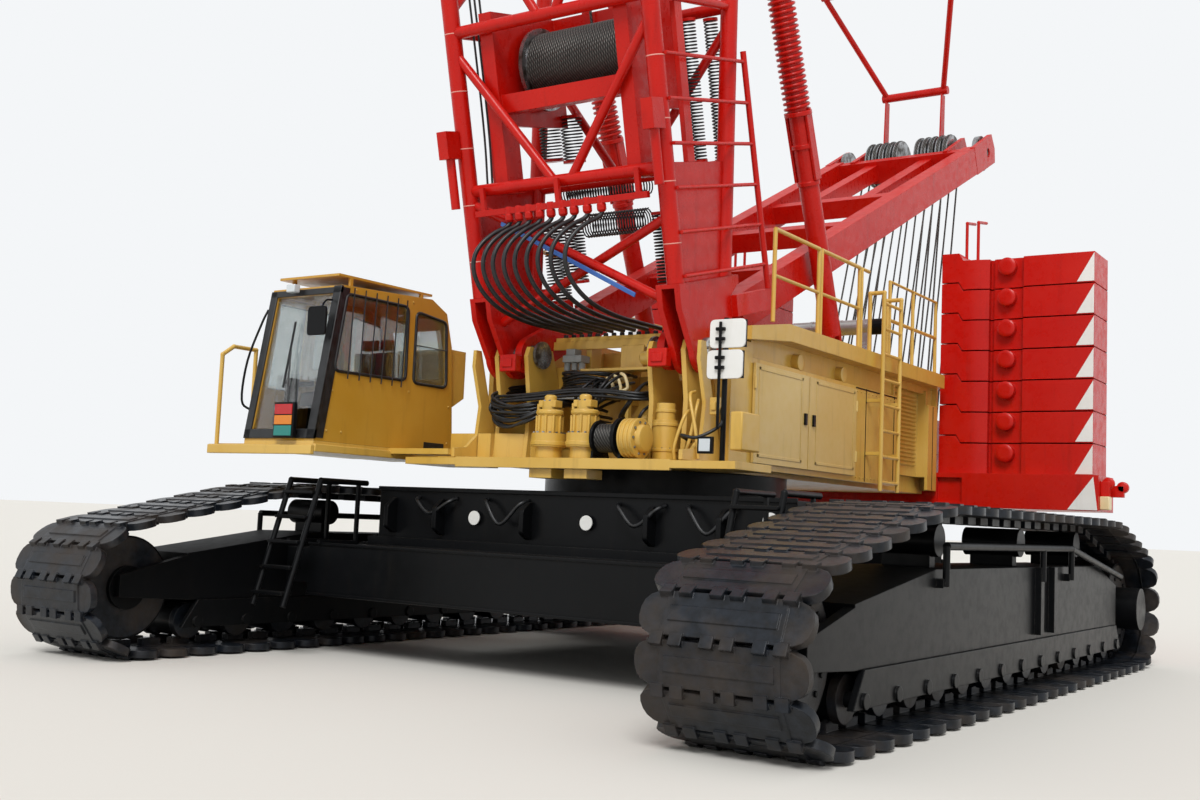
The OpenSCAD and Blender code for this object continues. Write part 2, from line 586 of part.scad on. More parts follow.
// Crossed braces above the feet, cut back from the foot plates
module foot_braces() difference() {
    union() {
        member([-chord_x, front_t, 1590], [chord_x, front_t, 430], 45, butt_lines);
        member([-chord_x, front_t + 100, 300], [1095, front_t + 100, 1270], 45, butt_lines);
    }
    both() block([970 - fit, -600, 0], [1400, 900, foot_top + fit]);
}
module tip_lacing() {
    for (i = [0:tip_bays - 1]) let(even = i % 2 == 0, m = even ? 1 : -1) {
        for (x = [-1, 1]) member(tip_at(x, even, (i + 0.16) / tip_bays),
            tip_at(x, !even, (i + 0.84) / tip_bays), lace_r, tip_lines);
        for (f = [true, false]) member(tip_at(-m, f, (i + (i == 0 ? 0.28 : 0.08)) / tip_bays),
            tip_at(m, f, (i + 0.92) / tip_bays), lace_r, tip_lines);
    }
    for (i = [0:tip_bays]) let(k = (i + (i == 0 ? 0.12 : i == tip_bays ? -0.04 : 0)) / tip_bays)
        for (f = [true, false]) member(tip_at(-1, f, k), tip_at(1, f, k), 48, tip_lines);
}
module boom_lacing() color(red) on_boom() {
    butt_lacing();
    foot_braces();
    tip_lacing();
}
module boom_head() color("dimgray") on_boom() {
    for (i = [-3:3]) rod_x(i * 110 - 38, i * 110 + 38, -150, boom_len, 330);
    rod_x(-415, 415, -150, boom_len, 60);
    for (i = [-1:1]) rod_x(i * 160 - 40, i * 160 + 40, 500, boom_len - 20, 250);
    rod_x(-415, 415, 500, boom_len - 20, 55);
}
module boom_ladder() color(red) on_boom() {
    for (s = [700:400:2700]) tube_to([1246, front_t, s], [1246, rear_rail(s), s], 18);
    tube_to([1246, rear_rail(460), 455], [1246, rear_rail(2800), 2800], 30);
    both() {
        block([chord_x - 20, -600, 2030], [chord_x + 100, -400, 2300]);
        tube_to([chord_x + 40, -500, 1540], [chord_x + 40, -500, 2031], 45);
    }
}
function rear_rail(s) = 1340 - (s - 450) * 0.05;
drum_c = [450, 2860];
module drum_frame() color(red) on_boom() {
    both() {
        block([700, front_t + 62, 1640], [850, 20, 3400]);
        block([700, 19, 2300], [760, 900, 3400]);
    }
    block([-701, -200, 2420], [701, 30, 2600]);
    block([-701, 820, 3280], [701, 900, 3399]);
}
module hoist_drum() color("black") on_boom() {
    rod_x(-685, 685, drum_c[0], drum_c[1], 60);
    rod_x(-590, 590, drum_c[0], drum_c[1], 340);
    both() rod_x(589, 630, drum_c[0], drum_c[1], 410);
}

// Mast
module mast() color(red) on_mast() {
    both() {
        side(800, 80) difference() {
            union() {
                circle(r = 190);
                polygon([[0, -190], [1300, -150], [1300, 200], [0, 190]]);
            }
            circle(r = pin_r + pin_gap);
        }
        plan(-leg_h / 2, leg_h)
            polygon([[781, 1200], [1019, 1200], [1170, mast_len - 420], [940, mast_len - 420]]);
        plan(-110, 220) polygon([[330, 6150], [520, 6150], [520, mast_len - 470], [330, mast_len - 470]]);
        for (x = [690, 1100]) side(x, 70) difference() {
            polygon([[mast_len - 600, -200], [mast_len + 260, -200], [mast_len + 330, 0],
                [mast_len + 260, 230], [mast_len - 600, 200]]);
            translate([mast_len, 0]) circle(r = axle_r + pin_gap);
        }
    }
    for (y = [2600, 4600, 6200]) block([-960, y - 110, -120], [960, y + 110, 120]);
    block([-1101, mast_len - 620, -170], [1101, mast_len - 400, 170]);
}
sheave_x = [170, 280, 390, 500, 610];
module mast_head() color("dimgray") on_mast() {
    rod_x(-1150, 1150, mast_len, 0, axle_r);
    for (s = [-1, 1]) for (x = sheave_x) rod_x(s * x - 38, s * x + 38, mast_len, 0, 330);
    both() rod_x(1000, 1080, mast_len, 0, 260);
}
yoke_low = [mast_y + 40, mast_z + 1070];
yoke_high = [mast_y - 1200, mast_z + 2370];
yoke_bars = [for (b = [[yoke_low, 62], [yoke_high, 60]])
    [[-1100, b[0][0], b[0][1]], [1100, b[0][0], b[0][1]], b[1]]];
module pendants() color(red) {
    both() {
        side(435, 20) difference() {
            union() {
                translate([mast_y, mast_z]) circle(r = 130);
                polygon([[mast_y - 90, mast_z], [mast_y + 90, mast_z], [mast_y + 100, yoke_low[1] - 70],
                    [mast_y - 40, yoke_low[1] - 70]]);
            }
            translate([mast_y, mast_z]) circle(r = axle_r + pin_gap + 1);
        }
        member([445, yoke_low[0], yoke_low[1]], [1000, yoke_high[0], yoke_high[1]], 42, yoke_bars);
        member([1000, yoke_high[0], yoke_high[1]], [340, head_y + 640, head_z - 180], 40, yoke_bars);
    }
    rod_x(-520, 520, yoke_low[0], yoke_low[1], 62);
    rod_x(-1040, 1040, yoke_high[0], yoke_high[1], 60);
}

// Backstops, hanging from their upper pin: Z runs down them
tube_len = 3800;
spring_end = 2200;
rod_end = stop_len - 640;
module backstop_rods() color(red) both() on_stop() {
    translate([stop_x, 0, 40]) rotate_extrude() polygon([[0, 0], [60, 0], [60, 160], [160, 160], [160, 220],
        [140, 220], [140, spring_end], [60, spring_end], [60, rod_end], [0, rod_end]]);
    rod_x(stop_x - 80, stop_x + 80, 0, 0, 110);
}
module backstop_tubes() color(red) both() on_stop() difference() {
    union() {
        translate([stop_x, 0, stop_len - tube_len - 60]) cylinder(h = tube_len, r = 110);
        rod_x(stop_x - 60, stop_x + 60, 0, stop_len, 130);
    }
    translate([stop_x, 0, stop_len - tube_len - 200]) cylinder(h = tube_len - 80, r = 66);
    rod_x(stop_x - 100, stop_x + 100, 0, stop_len, 60);
}

// Hydraulic hoses from the couplers under the first cross tube to the shelf: [x shift, y, z]
hose_route = [[0, -2130, 4322], [0, -2122, 4290], [-25, -2150, 4240], [-80, -2250, 4170], [-140, -2350, 4060],
    [-180, -2410, 3930], [-190, -2410, 3790], [-170, -2350, 3650], [-130, -2240, 3530], [-85, -2080, 3440],
    [-45, -1880, 3390], [-20, -1660, 3365], [0, -1430, 3360], [0, -1200, 3360], [0, -1000, 3360]];
hose_x = [-600, -480, -360, -230, -100, 40, 170, 320, 480];
hose_r = 22;
hose_sides = 8;
function ring(c, d, r, n) = let(w = cross([1, 0, 0], d), u = w / norm(w), v = cross(d, u) / norm(d))
    [for (k = [0:n - 1]) c + r * (cos(360 * k / n) * u + sin(360 * k / n) * v)];
module sweep(pts, r, n) {
    m = len(pts);
    points = [for (i = [0:m - 1]) each ring(pts[i], pts[min(i + 1, m - 1)] - pts[max(i - 1, 0)], r, n)];
    faces = concat([[for (k = [0:n - 1]) k]], [[for (k = [n - 1:-1:0]) (m - 1) * n + k]],
        [for (i = [0:m - 2]) for (k = [0:n - 1]) let(a = i * n + k, b = i * n + (k + 1) % n)
            each [[a, a + n, b], [b, a + n, b + n]]]);
    polyhedron(points, faces, convexity = 6);
}
module hoses() color("black") for (x = hose_x) sweep([for (p = hose_route) [x + p[0], p[1], p[2]]],
    hose_r, hose_sides);
rail_t = -405;
module hose_rail() color(red) on_boom() {
    block([-1000, rail_t - 25, 1440], [1000, rail_t + 25, 1500]);
    for (x = [-900, 0, 900]) block([x - 25, rail_t - 20, 1499], [x + 25, rail_t + 20, 1720]);
    for (x = hose_x) rod_z(1394, 1441, x, rail_t, 32);
}

// Hook
hook_drop = 2300;
hook_y = head_y - 150 * cos(boom_lean) - 330;
hook_z = head_z - hook_drop;
module hook_block() color(yellow) {
    both() side(160, 40) translate([hook_y, hook_z]) union() {
        circle(r = 360);
        translate([-200, -640]) square([400, 600]);
    }
    for (i = [-1:1]) rod_x(i * 105 - 38, i * 105 + 38, hook_y, hook_z, 300);
    rod_x(-161, 161, hook_y, hook_z, 60);
    block([-161, hook_y - 150, hook_z - 640], [161, hook_y + 150, hook_z - 480]);
}
module hook() color("dimgray") {
    rod_z(hook_z - 860, hook_z - 645, 0, hook_y, 70);
    translate([0, hook_y, hook_z - 1080]) rotate([90, 0, 0]) rotate_extrude(angle = 250)
        translate([170, 0]) circle(r = 60);
}

carbody();
carbody_weights();
steps();
side_frame(track_x);  // side_frame_left
side_frame(-track_x);  // side_frame_right
track(track_x);  // track_left
track(-track_x);  // track_right
roller_row(track_x);  // rollers_left
roller_row(-track_x);  // rollers_right
idlers();
sprockets();
slew_ring();
platform();
foot_brackets();
foot_pins();
house();
engine();
exhaust();
swing_drives();
front_winch();
handrails();
ladder();
mirrors();
tail_tray();
stack();  // counterweight_left
mirror([1, 0, 0]) stack();  // counterweight_right
rope_anchor();
cab_bracket();
cab_shell();
cab_glass();
cab_seat();
cab_door();
cab_door_glass();
house_door(-850, 350, -850);  // house_door_front
house_door(370, 1590, 1590);  // house_door_rear
boom_feet();
boom_butt();
boom_lacing();
boom_tip();
boom_head();
boom_ladder();
drum_frame();
hoist_drum();
mast();
mast_head();
pendants();
backstop_rods();
backstop_tubes();
hose_rail();
hoses();
hook_block();
hook();
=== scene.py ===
import json
import math
import random

import bmesh
import bpy
from mathutils import Euler, Matrix, Vector


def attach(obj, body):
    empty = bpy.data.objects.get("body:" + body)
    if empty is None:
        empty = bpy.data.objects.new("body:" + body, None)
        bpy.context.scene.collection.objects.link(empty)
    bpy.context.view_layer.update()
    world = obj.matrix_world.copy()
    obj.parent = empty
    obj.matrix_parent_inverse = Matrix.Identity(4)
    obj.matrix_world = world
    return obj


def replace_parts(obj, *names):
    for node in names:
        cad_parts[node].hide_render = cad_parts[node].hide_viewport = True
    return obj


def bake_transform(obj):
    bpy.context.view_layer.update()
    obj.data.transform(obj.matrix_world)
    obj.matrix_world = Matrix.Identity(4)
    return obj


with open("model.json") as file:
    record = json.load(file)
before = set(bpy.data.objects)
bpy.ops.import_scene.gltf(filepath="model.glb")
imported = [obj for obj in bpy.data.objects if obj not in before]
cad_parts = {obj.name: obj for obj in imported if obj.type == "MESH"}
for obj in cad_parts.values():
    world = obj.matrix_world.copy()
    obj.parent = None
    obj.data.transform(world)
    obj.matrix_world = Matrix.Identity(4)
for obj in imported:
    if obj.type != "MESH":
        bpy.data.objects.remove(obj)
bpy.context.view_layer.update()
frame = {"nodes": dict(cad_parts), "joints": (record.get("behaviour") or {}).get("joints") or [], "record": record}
jointPlace = {joint["name"]: joint.get("pos_m") for joint in frame["joints"]}
print("frame loaded:", len(frame["nodes"]), "nodes")

# Places that many pieces share, in metres and degrees
rig = {
    "pin": Vector(jointPlace["boom_luff"]),
    "lean": 14.5,  # forward lean of the boom
    "rise": 25.8,  # rise of the mast
    "boomLength": 18.3,
    "mastLength": 9.3,
    "chordX": 1.14,
    "chordRadius": 0.085,
    "frontT": -0.3,
    "rearT": 1.55,
    "drum": (0.45, 2.86),
    "drumRadius": 0.34,
    "stopTop": Vector(jointPlace["backstop_swing"]),
    "stopEye": Vector((0, 1.5, 3.56)),
    "stopX": 1.2,
}
boomFrame = Matrix.Translation(rig["pin"]) @ Matrix.Rotation(math.radians(rig["lean"]), 4, "X")
mastFrame = Matrix.Translation(rig["pin"]) @ Matrix.Rotation(math.radians(rig["rise"]), 4, "X")
stopRun = rig["stopEye"] - rig["stopTop"]
stopFrame = Matrix.Translation(rig["stopTop"]) @ Matrix.Rotation(math.atan2(-stopRun.y, stopRun.z), 4, "X")
level = Matrix.Identity(4)
origin = (0, 0, 0)
quarter = math.pi / 2


# Camera at the photo's viewing angle
view = {"place": (7.281, -12.074, 1.450), "yaw": 34.08, "pitch": 5.163, "roll": 2.479, "lens": 39.58,
        "sensor": 36, "reach": 400}


def makeCamera():
    yaw, pitch, roll = (math.radians(view[key]) for key in ("yaw", "pitch", "roll"))
    look = Vector((-math.sin(yaw) * math.cos(pitch), math.cos(yaw) * math.cos(pitch), math.sin(pitch)))
    right = Vector((math.cos(yaw), math.sin(yaw), 0))
    up = right.cross(look)
    tiltRight = right * math.cos(roll) + up * math.sin(roll)
    tiltUp = up * math.cos(roll) - right * math.sin(roll)
    data = bpy.data.cameras.new("camera")
    data.lens, data.sensor_width, data.clip_end = view["lens"], view["sensor"], view["reach"]
    camera = bpy.data.objects.new("camera", data)
    bpy.context.scene.collection.objects.link(camera)
    turn = Matrix((tiltRight, tiltUp, -look)).transposed().to_4x4()
    camera.matrix_world = Matrix.Translation(Vector(view["place"])) @ turn
    bpy.context.scene.camera = camera


makeCamera()


# Colours and nodes
def colour(hexText):
    parts = [int(hexText[i:i + 2], 16) / 255 for i in (1, 3, 5)]
    return [c / 12.92 if c <= 0.04045 else ((c + 0.055) / 1.055) ** 2.4 for c in parts] + [1]


def feed(tree, node, sockets):  # each input gets a plain value or a link from another socket
    for key, value in sockets.items():
        if isinstance(value, bpy.types.NodeSocket):
            tree.links.new(value, node.inputs[key])
        else:
            node.inputs[key].default_value = value


def addNode(tree, kind, sockets=None, **settings):
    node = tree.nodes.new(kind)
    for key, value in settings.items():
        setattr(node, key, value)
    feed(tree, node, sockets or {})
    return node


def ramp(tree, source, low, high, start=0.0, end=1.0):  # start at low, end at high
    sockets = {"Value": source, "From Min": low, "From Max": high, "To Min": start, "To Max": end}
    return addNode(tree, "ShaderNodeMapRange", sockets).outputs["Result"]


def counted(tree, operation, *values):
    return addNode(tree, "ShaderNodeMath", dict(enumerate(values)), operation=operation).outputs[0]


def mixed(tree, share, first, second):
    return addNode(tree, "ShaderNodeMix", {0: share, 6: first, 7: second}, data_type="RGBA").outputs[2]


def objectPlace(tree):
    return addNode(tree, "ShaderNodeTexCoord").outputs["Object"]


def noiseAt(tree, scale, stretch=(1, 1, 1), detail=4.0):
    mapped = addNode(tree, "ShaderNodeMapping", {"Scale": stretch, "Vector": objectPlace(tree)})
    sockets = {"Scale": scale, "Detail": detail, "Roughness": 0.6, "Vector": mapped.outputs["Vector"]}
    return addNode(tree, "ShaderNodeTexNoise", sockets).outputs["Fac"]


def bumps(tree, height, strength, distance, normal=None):
    sockets = {"Height": height, "Strength": strength, "Distance": distance}
    if normal is not None:
        sockets["Normal"] = normal
    return addNode(tree, "ShaderNodeBump", sockets).outputs["Normal"]


def newFinish(recipe, name=None, *details):  # a recipe gives the inputs of the shader
    material = bpy.data.materials.new(name or recipe.__name__)
    material.use_nodes = True
    tree = material.node_tree
    feed(tree, tree.nodes["Principled BSDF"], recipe(tree, *details))
    return material


# Sprayed machine enamel: even colour, faint sun fade, dust where it lies level, worn edges
grain = {"streak": 7, "dust": 11, "chip": 45, "peel": 160}


def sprayedEnamel(tree, spec):
    fade = ramp(tree, noiseAt(tree, spec["fadeScale"]), 0.35, 0.7)
    base = mixed(tree, fade, colour(spec["base"]), colour(spec["faded"]))
    streaks = ramp(tree, noiseAt(tree, grain["streak"], (1, 1, 0.12), 6), 0.56, 0.74)
    base = mixed(tree, counted(tree, "MULTIPLY", streaks, spec["streaks"]), base, colour(spec["grime"]))
    facing = addNode(tree, "ShaderNodeNewGeometry").outputs["Normal"]
    lying = ramp(tree, addNode(tree, "ShaderNodeSeparateXYZ", {0: facing}).outputs["Z"], 0.55, 1.0)
    patchy = ramp(tree, noiseAt(tree, grain["dust"], detail=7), 0.42, 0.68)
    dust = counted(tree, "MULTIPLY", counted(tree, "MULTIPLY", lying, patchy), spec["dust"])
    base = mixed(tree, dust, base, colour(spec["dustColour"]))
    softened = addNode(tree, "ShaderNodeBevel", {"Radius": spec["edge"]}, samples=4).outputs["Normal"]
    along = addNode(tree, "ShaderNodeVectorMath", {0: softened, 1: facing}, operation="DOT_PRODUCT")
    atEdge = ramp(tree, along.outputs["Value"], 0.98, 0.8)
    chipped = ramp(tree, noiseAt(tree, grain["chip"], detail=5), 0.5, 0.62)
    worn = counted(tree, "MULTIPLY", counted(tree, "MULTIPLY", atEdge, chipped), spec["wear"])
    gloss = ramp(tree, patchy, 0, 1, spec["gloss"], spec["gloss"] + spec["patch"])
    return {"Base Color": mixed(tree, worn, base, colour(spec["bare"])),
            "Roughness": counted(tree, "MULTIPLY_ADD", lying, 0.3, gloss),  # level faces are dulled by dust
            "Normal": bumps(tree, noiseAt(tree, grain["peel"], detail=2), 0.06, 0.002, softened),
            "IOR": 1.5, "Specular IOR Level": spec["shine"], "Coat Weight": spec["coat"],
            "Coat Roughness": 0.12}


plainEnamel = {"fadeScale": 3.0, "streaks": 0.3, "dust": 0.2, "dustColour": "#CDBE9C", "edge": 0.008,
               "bare": "#7B6A48", "wear": 0.4, "gloss": 0.34, "coat": 0.2, "shine": 0.5, "patch": 0.2}
enamels = {
    "redEnamel": {"base": "#BE0F06", "faded": "#C81A0B", "fadeScale": 0.8, "grime": "#6A0906", "dust": 0.1,
                  "dustColour": "#A8685A", "edge": 0.01, "bare": "#CC5A4C", "wear": 0.35, "gloss": 0.26,
                  "coat": 0.08, "shine": 0.25},
    # weld bands: pale pink stands for a painted highlight on the raised red weld beads
    "weldPaintedHighlight": {"base": "#E7A79B", "faded": "#DE8F82", "grime": "#A03A30", "streaks": 0.2,
                 "dustColour": "#C9A79C", "edge": 0.002, "bare": "#E7C1B8", "wear": 0.2, "gloss": 0.35,
                 "coat": 0.1},
    "blueStrip": {"base": "#3564B4", "faded": "#4674BF", "grime": "#22407A", "dustColour": "#8D98AC",
                  "edge": 0.003, "bare": "#8FA3C9", "gloss": 0.4, "coat": 0.1},
    "cabEnamel": {"base": "#C08E2A", "faded": "#C79836", "fadeScale": 1.3, "grime": "#8A6422", "dust": 0.3,
                  "dustColour": "#BCA77C", "gloss": 0.28, "coat": 0.3},
    "ochreEnamel": {"base": "#CFA544", "faded": "#D8B25A", "fadeScale": 1.1, "grime": "#8E6A2A",
                    "streaks": 0.35, "dust": 0.4, "edge": 0.01, "wear": 0.55, "gloss": 0.32, "coat": 0.25},
    "blackChassis": {"base": "#0A0B0C", "faded": "#0F1012", "fadeScale": 0.6, "grime": "#1C1814", "dust": 0.16,
                     "dustColour": "#3E3830", "edge": 0.012, "bare": "#4A4640", "wear": 0.5, "gloss": 0.3,
                     "coat": 0.0, "shine": 0.14, "patch": 0.08},
    "doorEnamel": {"base": "#D2B063", "faded": "#DABD78", "fadeScale": 0.9, "grime": "#94763A",
                   "streaks": 0.35, "dust": 0.4, "wear": 0.5},
    "whiteEnamel": {"base": "#EDEDEA", "faded": "#E3E3DE", "fadeScale": 2.0, "grime": "#B5AFA3",
                    "streaks": 0.2, "dustColour": "#CFC8BA", "edge": 0.006, "bare": "#C3BDB2", "wear": 0.3,
                    "gloss": 0.35},
    "creamPipe": {"base": "#E2CE9A", "faded": "#EAD9AE", "grime": "#9C8552", "edge": 0.004, "bare": "#8C7C5C"},
    "greyCasting": {"base": "#8C8F8E", "faded": "#9A9C99", "grime": "#4E4C47", "streaks": 0.4, "dust": 0.3,
                    "dustColour": "#A79C88", "edge": 0.006, "bare": "#C2C2BE", "wear": 0.6, "gloss": 0.45,
                    "coat": 0.0},
}
finishes = {name: newFinish(sprayedEnamel, name, {**plainEnamel, **spec}) for name, spec in enamels.items()}


# Cast manganese steel: dark and rubbed patches, with dried brown soil over them
def castShoeSteel(tree):
    soil = ramp(tree, noiseAt(tree, 1.7, detail=8), 0.46, 0.68)
    rubbed = ramp(tree, noiseAt(tree, 14, detail=6), 0.35, 0.7)
    skin = mixed(tree, rubbed, colour("#0E1115"), colour("#20252D"))
    softened = addNode(tree, "ShaderNodeBevel", {"Radius": 0.012}, samples=4).outputs["Normal"]
    return {"Base Color": mixed(tree, counted(tree, "MULTIPLY", soil, 0.5), skin, colour("#4C4034")),
            "Roughness": ramp(tree, soil, 0, 1, 0.3, 0.65), "Metallic": 0.15, "Specular IOR Level": 0.35,
            "Normal": bumps(tree, noiseAt(tree, 60, detail=6), 0.35, 0.004, softened)}


# Bare turned steel under a film of brown grease
def greasedSteel(tree):
    film = ramp(tree, noiseAt(tree, 9, detail=6), 0.4, 0.65)
    return {"Base Color": mixed(tree, film, colour("#A6A8AA"), colour("#4A433B")),
            "Roughness": ramp(tree, film, 0, 1, 0.22, 0.5), "Metallic": 0.85}


# Stranded wire rope: dark with dressing, a diagonal lay about every 26 mm
def wireRope(tree):
    turned = addNode(tree, "ShaderNodeMapping", {"Rotation": (0.6, 0.5, 0.3), "Vector": objectPlace(tree)})
    sockets = {"Scale": 12.0, "Distortion": 0.4, "Vector": turned.outputs["Vector"]}
    lay = addNode(tree, "ShaderNodeTexWave", sockets).outputs["Fac"]
    return {"Base Color": mixed(tree, lay, colour("#2B2A29"), colour("#5C5A56")),
            "Normal": bumps(tree, lay, 0.5, 0.003), "Metallic": 0.6, "Roughness": 0.5}


# Extruded hose rubber and window seals: matt black with a dusty bloom
def hoseRubber(tree):
    bloom = ramp(tree, noiseAt(tree, 18, detail=5), 0.4, 0.75)
    return {"Base Color": mixed(tree, bloom, colour("#0E0F10"), colour("#26272A")),
            "Roughness": ramp(tree, bloom, 0, 1, 0.34, 0.6),
            "Normal": bumps(tree, noiseAt(tree, 220, detail=2), 0.15, 0.001)}


# Aluminised exhaust pipe, heat-stained towards brown
def aluminisedSteel(tree):
    stain = ramp(tree, noiseAt(tree, 3, (1, 0.4, 1), 6), 0.45, 0.8)
    return {"Base Color": mixed(tree, stain, colour("#C4C6C6"), colour("#8B8073")),
            "Roughness": ramp(tree, stain, 0, 1, 0.25, 0.5), "Metallic": 0.9}


# Toughened glass, grey-green tint, faint dust film
def tintedGlass(tree):
    film = ramp(tree, noiseAt(tree, 5, detail=6), 0.4, 0.9)
    return {"Base Color": mixed(tree, film, colour("#98A8A6"), colour("#A9B5B3")),
            "Roughness": ramp(tree, film, 0, 1, 0.02, 0.12),
            "Transmission Weight": 1, "IOR": 1.45, "Alpha": 0.5}


# Woven seat cloth over foam, threads drawn at 8 mm so that they show
def seatCloth(tree):
    sockets = {"Scale": 125.0, "Color1": colour("#1B1C20"), "Color2": colour("#2C2E35"),
               "Vector": objectPlace(tree)}
    weave = addNode(tree, "ShaderNodeTexChecker", sockets)
    return {"Base Color": weave.outputs["Color"], "Roughness": 0.9,
            "Normal": bumps(tree, weave.outputs["Fac"], 0.4, 0.001)}


# Moulded lamp lens and reflector, one plain colour with ribs
def lampLens(tree, hexText, ribText):
    ribs = addNode(tree, "ShaderNodeTexWave", {"Scale": 40.0, "Vector": objectPlace(tree)}).outputs["Fac"]
    return {"Base Color": mixed(tree, ribs, colour(hexText), colour(ribText)),
            "Normal": bumps(tree, ribs, 0.4, 0.002), "Roughness": 0.15}


for recipe in (castShoeSteel, greasedSteel, wireRope, hoseRubber, aluminisedSteel, tintedGlass, seatCloth):
    finishes[recipe.__name__] = newFinish(recipe)
lenses = {"redLens": ("#C4171B", "#A80F12"), "amberLens": ("#E88A12", "#C96F08"),
          "tealLens": ("#0F8A80", "#0A6E67"), "clearLens": ("#DDE3E6", "#C3CBD0")}
finishes.update({name: newFinish(lampLens, name, *pair) for name, pair in lenses.items()})

# Slots of the record with their finishes; a CAD node gets the first one of its slot
slots = {"red_paint": ("redEnamel", "weldPaintedHighlight", "blueStrip"),
         "yellow_paint": ("ochreEnamel", "cabEnamel", "doorEnamel", "creamPipe"),
         "black_paint": ("blackChassis",), "cast_steel": ("castShoeSteel",),
         "machined_steel": ("greasedSteel", "wireRope"), "exhaust_steel": ("aluminisedSteel",),
         "glass": ("tintedGlass",), "rubber": ("hoseRubber",), "seat_trim": ("seatCloth",),
         "mirror_back": ("whiteEnamel",)}
print("finishes made:", len(finishes))


# Geometry Nodes trees: a live one that smooths round faces, and two that repeat or sweep
def startTree(name, sockets):
    tree = bpy.data.node_groups.new(name, "GeometryNodeTree")
    tree.interface.new_socket(name="Geometry", in_out="OUTPUT", socket_type="NodeSocketGeometry")
    for label, kind in [("Geometry", "NodeSocketGeometry")] + sockets:
        tree.interface.new_socket(name=label, in_out="INPUT", socket_type=kind)
    return tree, addNode(tree, "NodeGroupInput").outputs


def endTree(tree, geometry, finish=None):
    if finish:
        painted = addNode(tree, "GeometryNodeSetMaterial", {"Geometry": geometry, "Material": finish})
        geometry = painted.outputs[0]
    addNode(tree, "NodeGroupOutput", {0: geometry})
    return tree


def smoothed(tree, geometry, limit=0.55):
    smooth = addNode(tree, "GeometryNodeSetShadeSmooth", {"Geometry": geometry, "Shade Smooth": True})
    angle = addNode(tree, "GeometryNodeInputMeshEdgeAngle").outputs[0]
    sharp = addNode(tree, "FunctionNodeCompare", {0: angle, 1: limit}, operation="GREATER_THAN").outputs[0]
    sockets = {"Geometry": smooth.outputs[0], "Selection": sharp, "Shade Smooth": False}
    return addNode(tree, "GeometryNodeSetShadeSmooth", sockets, domain="EDGE").outputs[0]


def makeShellTree():
    tree, start = startTree("smoothShell", [])
    plain = addNode(tree, "GeometryNodeRemoveAttribute", {0: start[0], "Name": "custom_normal"}).outputs[0]
    welded = addNode(tree, "GeometryNodeMergeByDistance", {"Geometry": plain, "Distance": 0.0002}).outputs[0]
    return endTree(tree, smoothed(tree, welded))


def makeTubeTree():
    tree, start = startTree("tubeAlong", [("Radius", "NodeSocketFloat"), ("Sides", "NodeSocketInt"),
                                          ("Finish", "NodeSocketMaterial")])
    line = addNode(tree, "GeometryNodeMeshToCurve", {0: start["Geometry"]}).outputs[0]
    ring = addNode(tree, "GeometryNodeCurvePrimitiveCircle",
                   {"Resolution": start["Sides"], "Radius": start["Radius"]}).outputs[0]
    tube = addNode(tree, "GeometryNodeCurveToMesh", {"Curve": line, "Profile Curve": ring, "Fill Caps": True})
    real = addNode(tree, "GeometryNodeRealizeInstances", {0: smoothed(tree, tube.outputs[0], 0.9)})
    return endTree(tree, real.outputs[0], start["Finish"])


def makeRowTree():
    tree, start = startTree("rowOfPieces", [("Piece", "NodeSocketObject"), ("Finish", "NodeSocketMaterial")])
    turn = addNode(tree, "GeometryNodeInputNamedAttribute", {"Name": "turn"}, data_type="FLOAT_VECTOR")
    turned = addNode(tree, "FunctionNodeEulerToRotation", {0: turn.outputs[0]}).outputs[0]
    stamp = addNode(tree, "GeometryNodeObjectInfo", {"Object": start["Piece"]}).outputs["Geometry"]
    sockets = {"Points": start["Geometry"], "Instance": stamp, "Rotation": turned}
    stamped = addNode(tree, "GeometryNodeInstanceOnPoints", sockets).outputs[0]
    real = addNode(tree, "GeometryNodeRealizeInstances", {0: stamped}).outputs[0]
    return endTree(tree, smoothed(tree, real), start["Finish"])


shellTree, tubeTree, rowTree = makeShellTree(), makeTubeTree(), makeRowTree()


def settle(thing, tree, inputs):  # runs the tree once and keeps its result as a plain mesh
    modifier = thing.modifiers.new(tree.name, "NODES")
    modifier.node_group = tree
    for item in tree.interface.items_tree:
        if item.in_out == "INPUT" and item.name in inputs:
            modifier[item.identifier] = inputs[item.name]
    bpy.context.view_layer.update()
    graph = bpy.context.evaluated_depsgraph_get()
    mesh = bpy.data.meshes.new_from_object(thing.evaluated_get(graph), depsgraph=graph)
    thing.modifiers.clear()
    old, thing.data = thing.data, mesh
    bpy.data.meshes.remove(old)
    if not mesh.materials:
        mesh.materials.append(inputs["Finish"])


def kept(thing, body, replaced=()):
    if body:
        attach(thing, body)
    if replaced:
        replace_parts(thing, *replaced)
    return thing


def linked(name, mesh):
    thing = bpy.data.objects.new(name, mesh)
    bpy.context.scene.collection.objects.link(thing)
    return thing


def tubes(name, lines, radius, finish, body, place=level, sides=12, closed=False):
    mesh = bpy.data.meshes.new(name)
    points, edges = [], []
    for line in lines:
        first = len(points)
        points += [place @ Vector(p) for p in line]
        edges += [(first + i, first + i + 1) for i in range(len(line) - 1)]
        if closed:
            edges.append((len(points) - 1, first))
    mesh.from_pydata(points, edges, [])
    thing = linked(name, mesh)
    settle(thing, tubeTree, {"Radius": radius, "Sides": sides, "Finish": finishes[finish]})
    return kept(thing, body)


